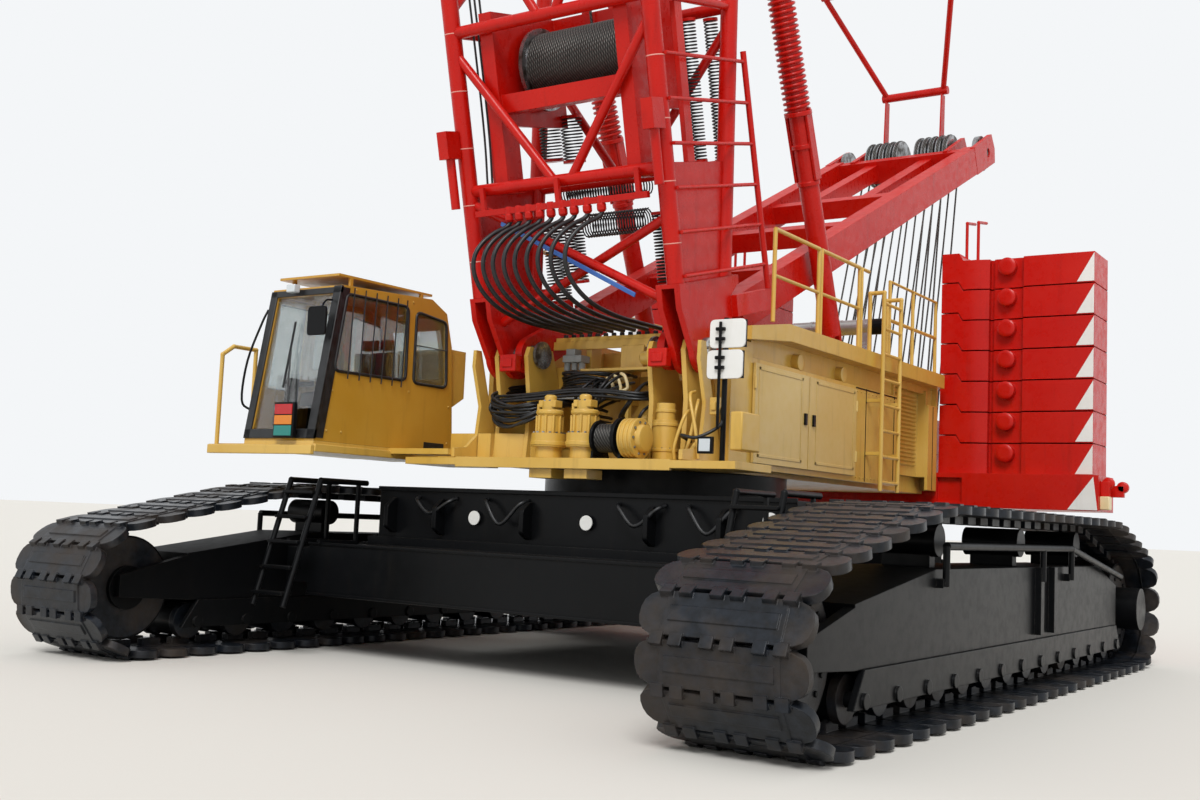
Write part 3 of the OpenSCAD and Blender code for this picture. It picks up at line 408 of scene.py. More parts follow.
def row(name, shapes, places, finish, body, place=level, replaced=()):
    stamp = linked(name + "Stamp", meshOf(name + "Stamp", shapes))
    mesh = bpy.data.meshes.new(name)
    mesh.from_pydata([place @ Vector(p) for p, turn in places], [], [])
    turns = mesh.attributes.new("turn", "FLOAT_VECTOR", "POINT")
    for i, (p, turn) in enumerate(places):
        turns.data[i].vector = (place.to_3x3() @ Euler(turn).to_matrix()).to_euler("XYZ")
    thing = linked(name, mesh)
    settle(thing, rowTree, {"Piece": stamp, "Finish": finishes[finish]})
    bpy.data.objects.remove(stamp)
    return kept(thing, body, replaced)


# Shapes as (points, faces): a prism along an axis, a box, a turned form, a collar
def prism(axis, low, high, outline):
    order = {0: (1, 2), 1: (0, 2), 2: (0, 1)}[axis]
    points = []
    for along in (low, high):
        for a, b in outline:
            p = [0, 0, 0]
            p[axis], p[order[0]], p[order[1]] = along, a, b
            points.append(p)
    n = len(outline)
    faces = [list(range(n)), list(range(2 * n - 1, n - 1, -1))]
    faces += [[i, i + n, (i + 1) % n + n, (i + 1) % n] for i in range(n)]
    return points, faces


def corners(x0, x1, z0, z1):
    return [(x0, z0), (x1, z0), (x1, z1), (x0, z1)]


def boxOf(low, high):
    return prism(0, low[0], high[0], corners(low[1], high[1], low[2], high[2]))


def onCircle(radius, count):
    turns = [math.tau * k / count for k in range(count)]
    return [(radius * math.cos(turn), radius * math.sin(turn)) for turn in turns]


def turnedForm(axis, centre, profile, steps=32):
    first, second = [(1, 2), (2, 0), (0, 1)][axis]
    points, faces = [], []
    for along, radius in profile:
        for a, b in onCircle(radius, steps):
            p = list(centre)
            p[axis] += along
            p[first] += a
            p[second] += b
            points.append(p)
    for j in range(len(profile) - 1):
        for k in range(steps):
            a, b = j * steps + k, j * steps + (k + 1) % steps
            faces.append([a, b, b + steps, a + steps])
    last = (len(profile) - 1) * steps
    faces += [list(range(steps - 1, -1, -1)), list(range(last, last + steps))]
    return points, faces


def collar(axis, centre, length, inner, outer, slope=0.004, steps=32):
    profile = [(0, inner), (slope, outer), (length - slope, outer), (length, inner)]
    return turnedForm(axis, centre, profile, steps)


def rod(axis, centre, length, radius, edge, steps):
    return collar(axis, centre, length, radius - edge, radius, edge, steps)


def woundRope(low, high, drumRadius, ropeRadius):  # profile of rope lying turn beside turn
    profile = []
    while low < high:
        for k in range(5):
            a, b = ropeRadius * math.cos(math.pi * k / 4), ropeRadius * math.sin(math.pi * k / 4)
            profile.append((low + ropeRadius - a, drumRadius + b))
        low += 2 * ropeRadius
    return profile


def smoothMesh(name, body):
    mesh = bpy.data.meshes.new(name)
    body.to_mesh(mesh)
    body.free()
    for polygon in mesh.polygons:
        polygon.use_smooth = True
    return mesh


def meshOf(name, shapes, place=level):
    body = bmesh.new()
    for points, faces in shapes:
        made = [body.verts.new(place @ Vector(p)) for p in points]
        for face in faces:
            body.faces.new([made[i] for i in face])
    bmesh.ops.recalc_face_normals(body, faces=body.faces)
    mesh = smoothMesh(name, body)
    mesh.set_sharp_from_angle(angle=0.6)
    return mesh


def piece(name, shapes, finish, body, place=level, bevel=0.006):
    mesh = meshOf(name, shapes, place)
    mesh.materials.append(finishes[finish])
    thing = linked(name, mesh)
    if bevel:
        modifier = thing.modifiers.new("edges", "BEVEL")
        modifier.width, modifier.segments, modifier.limit_method = bevel, 2, "ANGLE"
        modifier.angle_limit = 0.7
        modifier.use_clamp_overlap = True
    return kept(thing, body)


def bothSides(shapes):
    return shapes + [([(-x, y, z) for x, y, z in points], faces) for points, faces in shapes]


def curved(points, steps=6):  # a smooth line through given points
    ends = [Vector(points[0]) * 2 - Vector(points[1])] + [Vector(p) for p in points]
    ends.append(ends[-1] * 2 - ends[-2])
    line = []
    for i in range(1, len(ends) - 2):
        a, b, c, d = ends[i - 1:i + 3]
        for k in range(steps):
            u = k / steps
            line.append(0.5 * (2 * b + (c - a) * u + (2 * a - 5 * b + 4 * c - d) * u * u
                               + (3 * b - a - 3 * c + d) * u ** 3))
    return line + [ends[-2]]


def rounded(points, radius=0.07, steps=4):
    line, n = [], len(points)
    for i in range(n):
        p, before, after = (Vector(points[(i + k) % n]) for k in (0, -1, 1))
        a, b = (before - p).normalized(), (after - p).normalized()
        cut = radius / math.tan(a.angle(b) / 2)
        for k in range(steps + 1):
            u = k / steps
            line.append((p + a * cut).lerp(p, u).lerp(p.lerp(p + b * cut, u), u))
    return line


def hexBolt(radius, height):
    return [turnedForm(2, origin, [(0, radius), (height * 0.8, radius), (height, radius * 0.85)], 6)]


def boltRing(centre, radius, count, side=0):  # heads up, or outwards on side 1 or -1
    first, second = (1, 2) if side else (0, 1)
    places = []
    for a, b in onCircle(radius, count):
        p = list(centre)
        p[first] += a
        p[second] += b
        places.append((p, (0, side * quarter, 0)))
    return places


def sideBolts(x, y, z, radius, count):
    return boltRing((x, y, z), radius, count, 1) + boltRing((-x, y, z), radius, count, -1)


# CAD nodes: smooth round faces and the finish of their slot
slotByNode = {part["node"]: part["material_slot"] for part in frame["record"]["subparts"]}
ownFinish = {"hook": "greyCasting", "mirrors": "blackChassis", "cab_shell": "cabEnamel",
             "cab_door": "cabEnamel", "house_door_front": "doorEnamel", "house_door_rear": "doorEnamel"}
for nodeName, thing in frame["nodes"].items():
    shell = thing.modifiers.new("smoothShell", "NODES")
    shell.node_group = shellTree
    for holder in thing.material_slots:
        holder.material = finishes[slots[slotByNode[nodeName]][0]]
for nodeName, finish in ownFinish.items():
    frame["nodes"][nodeName].material_slots[0].material = finishes[finish]
print("frame dressed")


# Hydraulic hoses: the route of the CAD solids, one per coupler, made smooth
hose = {"diameter": 0.044, "across": [-0.6, -0.48, -0.36, -0.23, -0.1, 0.04, 0.17, 0.32, 0.48],
        "route": [(0, -2.130, 4.322), (0, -2.122, 4.290), (-0.025, -2.150, 4.240), (-0.080, -2.250, 4.170),
                  (-0.140, -2.350, 4.060), (-0.180, -2.410, 3.930), (-0.190, -2.410, 3.790),
                  (-0.170, -2.350, 3.650), (-0.130, -2.240, 3.530), (-0.085, -2.080, 3.440),
                  (-0.045, -1.880, 3.390), (-0.020, -1.660, 3.365), (0, -1.430, 3.360), (0, -1.200, 3.360),
                  (0, -1.000, 3.360)]}
for count, across in enumerate(hose["across"]):
    line = curved([(across + x, y, z) for x, y, z in hose["route"]], 3)
    tube = tubes(f"boomHose{count + 1}", [line], hose["diameter"] / 2, "hoseRubber", None, sides=14)
    if count == 0:
        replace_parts(tube, "hoses")
    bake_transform(tube)
print("hoses laid:", len(hose["across"]))


# Tracks: cast shoes chained round the belt; a circle is y, z and radius
track = {"x": 3.39, "shoes": 64,
         "circles": [(4.29, 0.68, 0.68), (2.96, 1.19, 0.5), (-2.34, 1.19, 0.5), (-4.33, 0.64, 0.64)]}


def leaving(a, b):  # the angle at which the belt leaves circle a for circle b
    slope = math.degrees(math.atan2(b[1] - a[1], b[0] - a[0]))
    gap = math.hypot(b[0] - a[0], b[1] - a[1])
    return (slope - math.degrees(math.acos((a[2] - b[2]) / gap)) + 360) % 360


def beltLine(circles, step=3):
    turns = [-90] + [leaving(a, b) for a, b in zip(circles, circles[1:])] + [270]
    line = []
    for i, (y, z, radius) in enumerate(circles):
        steps = max(2, math.ceil((turns[i + 1] - turns[i]) / step))
        for k in range(steps + 1):
            angle = math.radians(turns[i] + (turns[i + 1] - turns[i]) * k / steps)
            line.append(Vector((0, y + radius * math.cos(angle), z + radius * math.sin(angle))))
    return line


def spread(line, count):  # count points at even steps round a closed line
    loop = line + [line[0]]
    marks = [0]
    for a, b in zip(loop, loop[1:]):
        marks.append(marks[-1] + (b - a).length)
    found, j = [], 0
    for i in range(count):
        want = marks[-1] * i / count
        while marks[j + 1] < want:
            j += 1
        share = (want - marks[j]) / max(marks[j + 1] - marks[j], 1e-9)
        found.append(loop[j].lerp(loop[j + 1], share))
    return found, marks[-1] / count


shoeEnds, pitch = spread(beltLine(track["circles"]), track["shoes"])
shoe = {"nose": [(0.4, 0.148), (0.49, 0.142), (0.55, 0.118), (0.585, 0.08), (0.6, 0.03)],
        "lugs": (-0.475, -0.335, -0.115, 0.025, 0.245, 0.385), "lugWidth": 0.09}


def shoeShapes():  # x across, y along the belt, z outwards
    half = pitch / 2
    tongue = [(x, -y) for x, y in shoe["nose"]] + shoe["nose"][::-1]
    shapes = [boxOf((-0.42, -half + 0.022, -0.085), (0.42, half - 0.022, -0.012))]
    shapes += bothSides([prism(2, -0.085, -0.02, tongue)])
    shapes += [boxOf((-0.38, -0.05, -0.03), (0.38, 0.05, -0.002))]  # worn crown of the pad
    for x in shoe["lugs"]:  # paired square lugs that lock into the next shoe
        shapes += [boxOf((x, -half - 0.045, -0.07), (x + shoe["lugWidth"], -half + 0.04, 0))]
    shapes += bothSides([boxOf((0.09, -0.1, -0.15), (0.17, 0.1, -0.07))])  # guide horns inside
    return shapes


for side, label in ((1, "left"), (-1, "right")):
    places = []
    for a, b in zip(shoeEnds, shoeEnds[1:] + shoeEnds[:1]):
        middle = (a + b) / 2 + Vector((side * track["x"], 0, 0))
        places.append((middle, (math.atan2((b - a).z, (b - a).y) + math.pi, 0, 0)))
    row(f"shoes_{label}", shoeShapes(), places, "castShoeSteel", "root", replaced=(f"track_{label}",))
print("shoes set:", 2 * track["shoes"])


# Wheels of the tracks: rims and bolts of sprocket and idler as (y, z, rim radius), flanges of the rollers
wheel = {"places": [(4.29, 0.68, 0.5), (-4.33, 0.64, 0.46)], "rim": 0.06, "width": 0.51, "boltX": 0.25,
         "boltRadius": 0.36, "bolts": 16}
roller = {"first": -3.6, "step": 0.6, "count": 13, "z": 0.312, "hub": 0.1, "flange": 0.172, "thick": 0.07,
          "flangeX": (-0.27, 0.2)}
wheelBolts, rimShapes, rollerRims = [], [], []
for y, z, radius in wheel["places"]:
    wheelBolts += sideBolts(track["x"] + wheel["boltX"], y, z, wheel["boltRadius"], wheel["bolts"])
    for side in (1, -1):
        centre = (side * track["x"] - wheel["width"] / 2, y, z)
        rimShapes.append(collar(0, centre, wheel["width"], radius - wheel["rim"], radius, 0, 40))
row("wheelBolts", hexBolt(0.022, 0.02), wheelBolts, "blackChassis", "root")
piece("wheelRims", rimShapes, "castShoeSteel", "root", bevel=0.004)
for side in (1, -1):
    for k in range(roller["count"]):
        for x in roller["flangeX"]:
            centre = (side * track["x"] + x, roller["first"] + roller["step"] * k, roller["z"])
            rollerRims.append(collar(0, centre, roller["thick"], roller["hub"], roller["flange"], 0, 20))
piece("rollerFlanges", rollerRims, "castShoeSteel", "root", bevel=0)

# Carbody: flanges as (half width, y0, y1, z0, z1), hanging hoses, lugs and blank discs on its front
carbody = {"flanges": ((2.41, -1.83, -1.801, 1.655, 1.70), (2.41, 1.801, 1.83, 1.655, 1.70),
                       (2.49, -2.705, -2.69, 1.075, 1.105), (2.49, -2.705, -2.69, 0.58, 0.61)),
           "hoses": ((-1.85, 0.12), (-0.95, 0.2), (0.6, 0.16), (1.35, 0.2)),
           "lugs": (-2.2, -1.55, -0.45, 0.95, 1.7), "discs": ((-1.09, 1.41), (0.26, 1.41), (2.17, 1.5))}
flanges = [boxOf((-half, y0, z0), (half, y1, z1)) for half, y0, y1, z0, z1 in carbody["flanges"]]
piece("carbodyFlanges", flanges, "blackChassis", "root")
carHoses = [curved([(x, -1.81, 1.6), (x + 0.06, -1.9, 1.56), (x + 0.25, -1.93, 1.56 - drop),
                    (x + 0.45, -1.9, 1.55), (x + 0.5, -1.81, 1.6)]) for x, drop in carbody["hoses"]]
tubes("carbodyHoses", carHoses, 0.02, "hoseRubber", "root", sides=8)
lugOutline = rounded([(-1.95, 1.28), (-1.80, 1.2), (-1.80, 1.62), (-1.95, 1.5)], 0.04)
lugs = [prism(0, x, x + 0.05, lugOutline) for x in carbody["lugs"]]
piece("carbodyLugs", lugs, "blackChassis", "root", bevel=0.004)
disc = [(0, 0.07), (0.012, 0.07), (0.016, 0.06)]
discs = [turnedForm(1, (x, -1.846, z), disc, 28) for x, z in carbody["discs"]]
piece("blankDiscs", discs, "whiteEnamel", "root", bevel=0)
print("undercarriage detailed")


# Boom: weld bands on the chords from each first to the last height, coloured pale pink as a painted highlight, a
# strip on the brace
weld = {"step": 0.56, "first": {rig["frontT"]: 1.0, rig["rearT"]: 4.9}, "last": 7.4, "inner": 0.084,
        "outer": rig["chordRadius"] + 0.002, "length": 0.013, "slope": 0.003}
bands = []
for side in (1, -1):
    for t, s in weld["first"].items():
        while s < weld["last"]:
            bands.append(((side * rig["chordX"], t, s), origin))
            s += weld["step"]
band = collar(2, origin, weld["length"], weld["inner"], weld["outer"], weld["slope"], 28)
# the weld bands take the pale pink painted highlight finish
row("weldBands", [band], bands, "weldPaintedHighlight", "boom", boomFrame)
strip = [(-0.74, 1.335), (-0.725, 1.375), (0.745, 0.585), (0.73, 0.545)]
piece("braceStrip", [prism(1, -0.385, -0.365, strip)], "blueStrip", "boom", boomFrame, bevel=0.004)

# Boom foot: locks beside it, caps and bolts on its pins
footPin = {"faceX": 1.262, "radius": 0.10, "boltX": 1.278, "boltRadius": 0.07}
locks = [boxOf((0.78, -1.70, 2.89), (0.98, -1.60, 3.06)), boxOf((0.82, -1.715, 2.93), (0.94, -1.70, 3.02))]
piece("footLocks", bothSides(locks), "redEnamel", "upper", bevel=0.01)
pinCap = turnedForm(0, (footPin["faceX"], rig["pin"].y, rig["pin"].z),
                    [(0, footPin["radius"]), (0.012, footPin["radius"]), (0.018, footPin["radius"] - 0.01)])
piece("footPinCaps", bothSides([pinCap]), "aluminisedSteel", "upper", bevel=0)
capBolts = sideBolts(footPin["boltX"], rig["pin"].y, rig["pin"].z, footPin["boltRadius"], 6)
row("footPinBolts", hexBolt(0.014, 0.014), capBolts, "greasedSteel", "upper")

# Hose couplers, rope and spokes of the hoist drum, ropes and cables along the boom
coupler = [(0, 0.03), (0.02, 0.045), (0.07, 0.045), (0.08, 0.036), (0.13, 0.036), (0.15, 0.03)]
couplers = [turnedForm(2, (across, -0.405, 1.36), coupler, 16) for across in hose["across"]]
piece("hoseCouplers", couplers, "redEnamel", "boom", boomFrame, bevel=0)
drum = {"half": 0.575, "ropeInner": 0.342, "rope": 0.013, "spokes": 8, "spokeX": (0.632, 0.65),
        "spoke": corners(0.09, 0.38, -0.02, 0.02)}
drumT, drumS = rig["drum"]
drumTurns = woundRope(-drum["half"], drum["half"], drum["ropeInner"], drum["rope"])
drumRope = turnedForm(0, (0, drumT, drumS), drumTurns, 40)
piece("drumRope", [drumRope], "wireRope", "hoist_drum", boomFrame, bevel=0)
spokes = []
for cosine, sine in onCircle(1, drum["spokes"]):
    outline = [(drumT + cosine * r - sine * w, drumS + sine * r + cosine * w) for r, w in drum["spoke"]]
    spokes += bothSides([prism(0, *drum["spokeX"], outline)])
piece("drumSpokes", spokes, "blackChassis", "hoist_drum", boomFrame, bevel=0.003)
ropeStart = (drumT + rig["drumRadius"], drumS + 0.02)
hoistLines = [[(x, *ropeStart), (x * 0.5, 0.1, rig["boomLength"])] for x in (-0.2, 0.2)]
tubes("hoistRopes", hoistLines, 0.014, "wireRope", "boom", boomFrame, sides=8)
cables = [curved([(x, -0.2, 1.7), (x, -0.16, 2.4), (x + 0.02, -0.2, 4.0), (x, -0.2, 7.4)])
          for x in (-0.99, -0.93, -0.87)]
tubes("boomCables", cables, 0.011, "hoseRubber", "boom", boomFrame, sides=8)

# Boom head: caps and bolts on its side plates as (t, s, radius), collars at the jib pins
head = {"plate": 0.493, "caps": ((-0.15, rig["boomLength"], 0.13), (0.5, rig["boomLength"] - 0.02, 0.11)),
        "jibPin": (-5.8317, 20.2549), "collar": 0.062}
caps, headBolts = [], []
for t, s, radius in head["caps"]:
    cap = [(0, radius), (0.014, radius), (0.019, radius - 0.012)]
    caps.append(turnedForm(0, (head["plate"] - 0.001, t, s), cap))
    headBolts += sideBolts(head["plate"] + 0.017, t, s, radius - 0.035, 6)
piece("headCaps", bothSides(caps), "redEnamel", "boom", boomFrame, bevel=0)
row("headBolts", hexBolt(0.016, 0.014), headBolts, "greasedSteel", "boom", boomFrame)
collars = [[(side * head["plate"], head["jibPin"][0] + a, head["jibPin"][1] + b)
            for a, b in onCircle(head["collar"], 24)] for side in (1, -1)]
tubes("headCollars", collars, 0.014, "redEnamel", "boom", sides=10, closed=True)
print("boom dressed")


# Coils round the backstops: rod and tube each as (radius, low, high, turns)
def helix(centre, radius, low, high, turns, steps=14):
    line = []
    for k in range(turns * steps + 1):
        angle = math.tau * k / steps
        line.append((centre[0] + radius * math.cos(angle), centre[1] + radius * math.sin(angle),
                     low + (high - low) * k / (turns * steps)))
    return line


spring = {"wire": 0.018, "rod": (0.105, 0.28, 2.22, 34), "tube": (0.128, 2.72, 4.0, 22), "inner": 0.11,
          "seats": ((4.0, 0.15), (4.35, 0.125), (4.75, 0.125)), "guards": (-0.13, 0.1)}
for name, part, body in (("rodSprings", "rod", "backstop_rods"), ("tubeSprings", "tube", "backstop_tubes")):
    lines = [helix((side * rig["stopX"], 0), *spring[part]) for side in (1, -1)]
    tubes(name, lines, spring["wire"], "redEnamel", body, stopFrame, sides=8)
seats = []
for x in (rig["stopX"], -rig["stopX"]):
    seats += [collar(2, (x, 0, along), 0.054, spring["inner"], radius) for along, radius in spring["seats"]]
    seats += [boxOf((x + guard, -0.07, 4.05), (x + guard + 0.03, 0.07, 4.75)) for guard in spring["guards"]]
piece("springSeats", seats, "redEnamel", "backstop_tubes", stopFrame, bevel=0.004)

# Coil stacks inside the boom foot: (x, t, low, high, radius), those across it with s for x
stack = {"wire": 0.008, "pitch": 0.033, "steps": 12, "plate": 0.03,
         "upright": [(-0.94, 0.9, 2.0, 2.43, 0.11), (-0.66, 0.9, 1.96, 2.39, 0.11),
                     (-0.98, 0.85, 0.5, 1.3, 0.12), (-0.72, 0.85, 0.7, 1.3, 0.1), (0.36, 0.85, 0.5, 1.3, 0.09),
                     (0.84, 0.9, 1.79, 3.13, 0.065), (0.9, 1.25, 1.79, 3.15, 0.065)],
         "across": [(1.26, 0.95, -0.62, 0.16, 0.12), (1.62, 0.95, -0.9, 0.2, 0.1)]}


def coilLine(first, t, low, high, radius):
    return helix((first, t), radius, low, high, round((high - low) / stack["pitch"]), stack["steps"])


coilLines = {f"coilStack{count + 1}": coilLine(*place) for count, place in enumerate(stack["upright"])}
for count, place in enumerate(stack["across"]):
    coilLines[f"coilAcross{count + 1}"] = [point[::-1] for point in coilLine(*place)]
for name, line in coilLines.items():
    tubes(name, [line], stack["wire"], "hoseRubber", "boom", boomFrame, sides=6)
plates = [turnedForm(2, (x, t, s), [(0, radius + 0.01), (stack["plate"], radius + 0.01)], 20)
          for x, t, low, high, radius in stack["upright"] for s in (low - stack["plate"], high)]
piece("coilPlates", plates, "redEnamel", "boom", boomFrame, bevel=0)
print("coils wound")


# Mast: rope curtain down to the anchor sheaves, rope in the grooves of the mast's sheaves
curtain = {"pairs": 5, "top": Vector((0, 6.983, 7.128)), "low": Vector((0, 5.75, 2.85)), "rope": 0.013,
           "topRadius": 0.325, "lowRadius": 0.235, "lowStep": 0.16}
ropes, grooves = [], []
for side in (1, -1):
    for k in range(1, curtain["pairs"] + 1):
        topX, lowX = side * (0.06 + 0.11 * k), side * curtain["lowStep"] * k
        for edge in (-1, 1):
            ropes.append([(topX, curtain["top"].y + edge * curtain["topRadius"], curtain["top"].z),
                          (lowX, curtain["low"].y + edge * curtain["lowRadius"], curtain["low"].z)])
        grooves.append(collar(0, (topX - 0.02, rig["mastLength"], 0), 0.04, 0.335, 0.342, 0.006, 40))
curtainPiece = tubes("boomHoistRopes", ropes, curtain["rope"], "wireRope", None, sides=8)
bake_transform(curtainPiece)
piece("mastSheaveRopes", grooves, "wireRope", "mast", mastFrame, bevel=0)
print("mast rigged")


# Hook: falls of rope from the boom head, cheek bolts
fallsTop = boomFrame @ Vector((0, -0.15, rig["boomLength"]))
hookY, hookZ = fallsTop.y - 0.33, fallsTop.z - 2.3
falls = [[(x, hookY + e, fallsTop.z - 0.05), (x, hookY + e, hookZ)]
         for x in (-0.105, 0, 0.105) for e in (-0.29, 0.29)]
tubes("hookFalls", falls, 0.014, "wireRope", "hook_block", sides=8)
cheekBolts = boltRing((0.2, hookY, hookZ), 0.27, 10, 1)
row("hookBolts", hexBolt(0.03, 0.025), cheekBolts, "greasedSteel", "hook_block")


# Machinery front: swing drives with ribs, flanges and motors
drive = {"x": (-0.23, 0.18), "y": -1.82, "ribs": 10, "ribRadius": 0.122, "rib": 0.012}
driveBolts, driveForms, motorForms = [], [], []
for x in drive["x"]:
    y = drive["y"]
    driveBolts += boltRing((x, y, 2.25), 0.148, 14) + boltRing((x, y, 2.56), 0.06, 6)
    for a, b in onCircle(drive["ribRadius"], drive["ribs"]):
        driveForms.append(boxOf((x + a - drive["rib"], y + b - drive["rib"], 2.25),
                                (x + a + drive["rib"], y + b + drive["rib"], 2.42)))
    driveForms.append(turnedForm(2, (x, y, 2.42), [(0, 0.12), (0.02, 0.135), (0.045, 0.135), (0.06, 0.12)]))
    driveForms.append(collar(2, (x, y, 2.13), 0.044, 0.17, 0.178, steps=40))
    motorForms += [boxOf((x - 0.1, y - 0.06, 2.5), (x + 0.1, y + 0.06, 2.57)),
                   turnedForm(2, (x, y, 2.56), [(0, 0.06), (0.05, 0.06), (0.065, 0.04)], 20),
                   boxOf((x - 0.14, y - 0.03, 2.44), (x - 0.1, y + 0.03, 2.54))]
row("driveBolts", hexBolt(0.014, 0.014), driveBolts, "greasedSteel", "upper")
piece("driveForms", driveForms, "ochreEnamel", "upper", bevel=0.003)
piece("driveMotors", motorForms, "ochreEnamel", "upper")

# Gear housings beside the drives and the rope on the front winch
gear = {"upright": (0.87, -1.48), "collars": ((2.1, 0.12), (2.34, 0.12), (2.47, 0.09)),
        "winch": (-1.86, 2.205), "ribs": (0.69, 0.735, 0.78, 0.825), "capX": 0.85}
hubForms = [collar(2, (*gear["upright"], z), 0.034, radius, radius + 0.008) for z, radius in gear["collars"]]
hubForms += [collar(0, (x, *gear["winch"]), 0.024, 0.175, 0.186, steps=36) for x in gear["ribs"]]
hubForms.append(turnedForm(0, (gear["capX"], *gear["winch"]), [(0, 0.13), (0.05, 0.12), (0.055, 0.1)], 28))
piece("gearHousings", hubForms, "ochreEnamel", "upper", bevel=0)
gearBolts = boltRing((*gear["upright"], 2.13), 0.11, 10)
gearBolts += boltRing((gear["capX"], *gear["winch"]), 0.15, 10, 1)
row("gearBolts", hexBolt(0.013, 0.012), gearBolts, "greasedSteel", "upper")
winchRope = turnedForm(0, (0, *gear["winch"]), woundRope(0.405, 0.61, 0.127, 0.008))
piece("frontWinchRope", [winchRope], "wireRope", "upper", bevel=0)

# Valves, shelf with its fittings, tanks, filters and the junction at the corner
valves = [boxOf((-0.56, -1.2, 3.03), (-0.33, -1.04, 3.1)), boxOf((-0.54, -1.17, 3.1), (-0.43, -1.05, 3.17)),
          boxOf((-0.62, -1.3, 2.64), (0.3, -1.1, 2.67))]
plug = [(0, 0.035), (0.09, 0.035), (0.1, 0.025)]
valves += [turnedForm(2, (x, -1.12, 2.95), plug, 16) for x in (-0.55, -0.46, -0.37)]
piece("valveBank", valves, "greyCasting", "upper", bevel=0.004)
shelf = [boxOf((-0.32, -1.22, 2.925), (0.62, -1.03, 2.955)), boxOf((-0.94, -1.03, 3.18), (0.68, -1.021, 3.27)),
         boxOf((-0.9, -1.05, 2.3), (-0.62, -0.852, 3.0)), boxOf((0.05, -1.05, 2.95), (0.32, -0.852, 3.2)),
         boxOf((0.36, -0.98, 2.3), (0.68, -0.852, 2.85))]
shelf += [boxOf((x, -1.24, 2.02), (x + 0.04, -1.18, 2.64)) for x in (-0.6, -0.2, 0.25)]
piece("machineryShelf", shelf, "ochreEnamel", "upper")
fittings = [((-0.72 + 0.1 * k, -0.93, 3.31), origin) for k in range(14)]
row("shelfFittings", hexBolt(0.028, 0.045), fittings, "castShoeSteel", "upper")
tanks = [rod(2, (-0.86, -1.2, 2.36), 0.5, 0.085, 0.02, 28), rod(0, (-0.14, -1.32, 2.32), 0.34, 0.07, 0.015, 24),
         rod(0, (0.36, -1.14, 3.05), 0.26, 0.07, 0.02, 24), rod(2, (0.52, -1.28, 2.03), 0.44, 0.085, 0.02, 28)]
piece("machineryTanks", tanks, "ochreEnamel", "upper", bevel=0)
filters = [rod(2, (x, -1.1, 2.99), 0.16, 0.045, 0.01, 24) for x in (0.66, 0.55)]
filters.append(boxOf((-0.98, -1.24, 2.1), (-0.78, -1.06, 2.34)))
piece("machineryFilters", filters, "blackChassis", "upper", bevel=0.003)
cornerBox = [boxOf((1.4, -1.6, 2.44), (1.5, -1.5, 2.6)), boxOf((1.42, -1.615, 2.48), (1.47, -1.6, 2.56))]
piece("cornerJunction", cornerBox, "ochreEnamel", "upper")

# Pipes and hoses of the machinery: the black ones are laid with a little scatter
creamLines = []
for k in range(3):
    x, z = 0.12 + 0.08 * k, 2.84 + 0.02 * k
    creamLines.append(curved([(x - 0.06, -1.1, z - 0.02), (x - 0.05, -1.3, z), (x + 0.02, -1.34, z - 0.03),
                              (x + 0.05, -1.33, z - 0.14), (x - 0.02, -1.32, z - 0.18),
                              (x - 0.04, -1.12, z - 0.18)]))
tubes("creamPipes", creamLines, 0.017, "creamPipe", "upper", sides=8)
yellowHoses = [curved([(1.22, -1.56, 2.66), (1.24, -1.68, 2.6), (1.33, -1.72, 2.3), (1.36, -1.7, 2.03)]),
               curved([(1.2, -1.56, 2.5), (1.2, -1.7, 2.42), (1.13, -1.74, 2.15), (1.12, -1.72, 2.02)]),
               curved([(1.26, -1.56, 2.58), (1.3, -1.66, 2.5), (1.26, -1.7, 2.2), (1.2, -1.7, 2.03)])]
tubes("yellowHoses", yellowHoses, 0.016, "ochreEnamel", "upper", sides=8)
dice = random.Random(4)


def wander(points, amount):  # a hose laid by hand through its points
    return curved([[value + dice.uniform(-amount, amount) for value in p] for p in points], 5)


deckHoses = []
for k in range(9):  # layers behind the drives
    z = 2.68 + 0.028 * k
    deckHoses.append(wander([(-0.56, -1.08, z), (-0.5, -1.24, z), (-0.2, -1.3, z + 0.01), (0.0, -1.26, z),
                             (0.06, -1.06, z)], 0.012))
for k in range(12):  # the drooping bundle beside the cab
    z = 0.02 * k
    deckHoses.append(wander([(-1.02, -1.1, 2.7 + z * 0.5), (-1.12, -1.5, 2.62 + z * 0.4),
                             (-1.1, -1.62, 2.4 + z), (-0.86, -1.64, 2.34 + z), (-0.62, -1.62, 2.42 + z * 0.6),
                             (-0.5, -1.4, 2.55 + z * 0.3), (-0.42, -1.1, 2.6)], 0.022))
for k in range(3):  # across in front of the drives
    z = 2.6 + 0.03 * k
    deckHoses.append(wander([(-1.05, -1.6, z - 0.02), (-0.6, -1.63, z), (-0.1, -1.6, z + 0.04),
                             (0.3, -1.58, z + 0.03), (0.6, -1.5, z), (0.68, -1.1, z + 0.08)], 0.01))
for k in range(12):  # loops up from the deck
    x, z = dice.uniform(-0.35, 0.6), dice.uniform(2.2, 2.5)
    deckHoses.append(wander([(x, -1.12, z), (x + 0.02, -1.4, z + 0.05), (x + 0.15, -1.5, z + 0.22),
                             (x + 0.22, -1.3, z + 0.38), (x + 0.2, -1.0, z + 0.42)], 0.03))
deckHoses.append(curved([(1.16, -1.5, 2.2), (1.22, -1.78, 2.24), (1.4, -1.8, 2.22), (1.55, -1.66, 2.34),
                         (1.5, -1.55, 2.5)]))
tubes("machineryHoses", deckHoses, 0.016, "hoseRubber", "upper", sides=8)
print("machinery fitted")


# House doors: raised trims and handles
door = {"face": 1.4765, "trim": 1.481, "low": 2.11, "high": 2.95, "band": 0.03, "handle": (1.476, 1.498)}


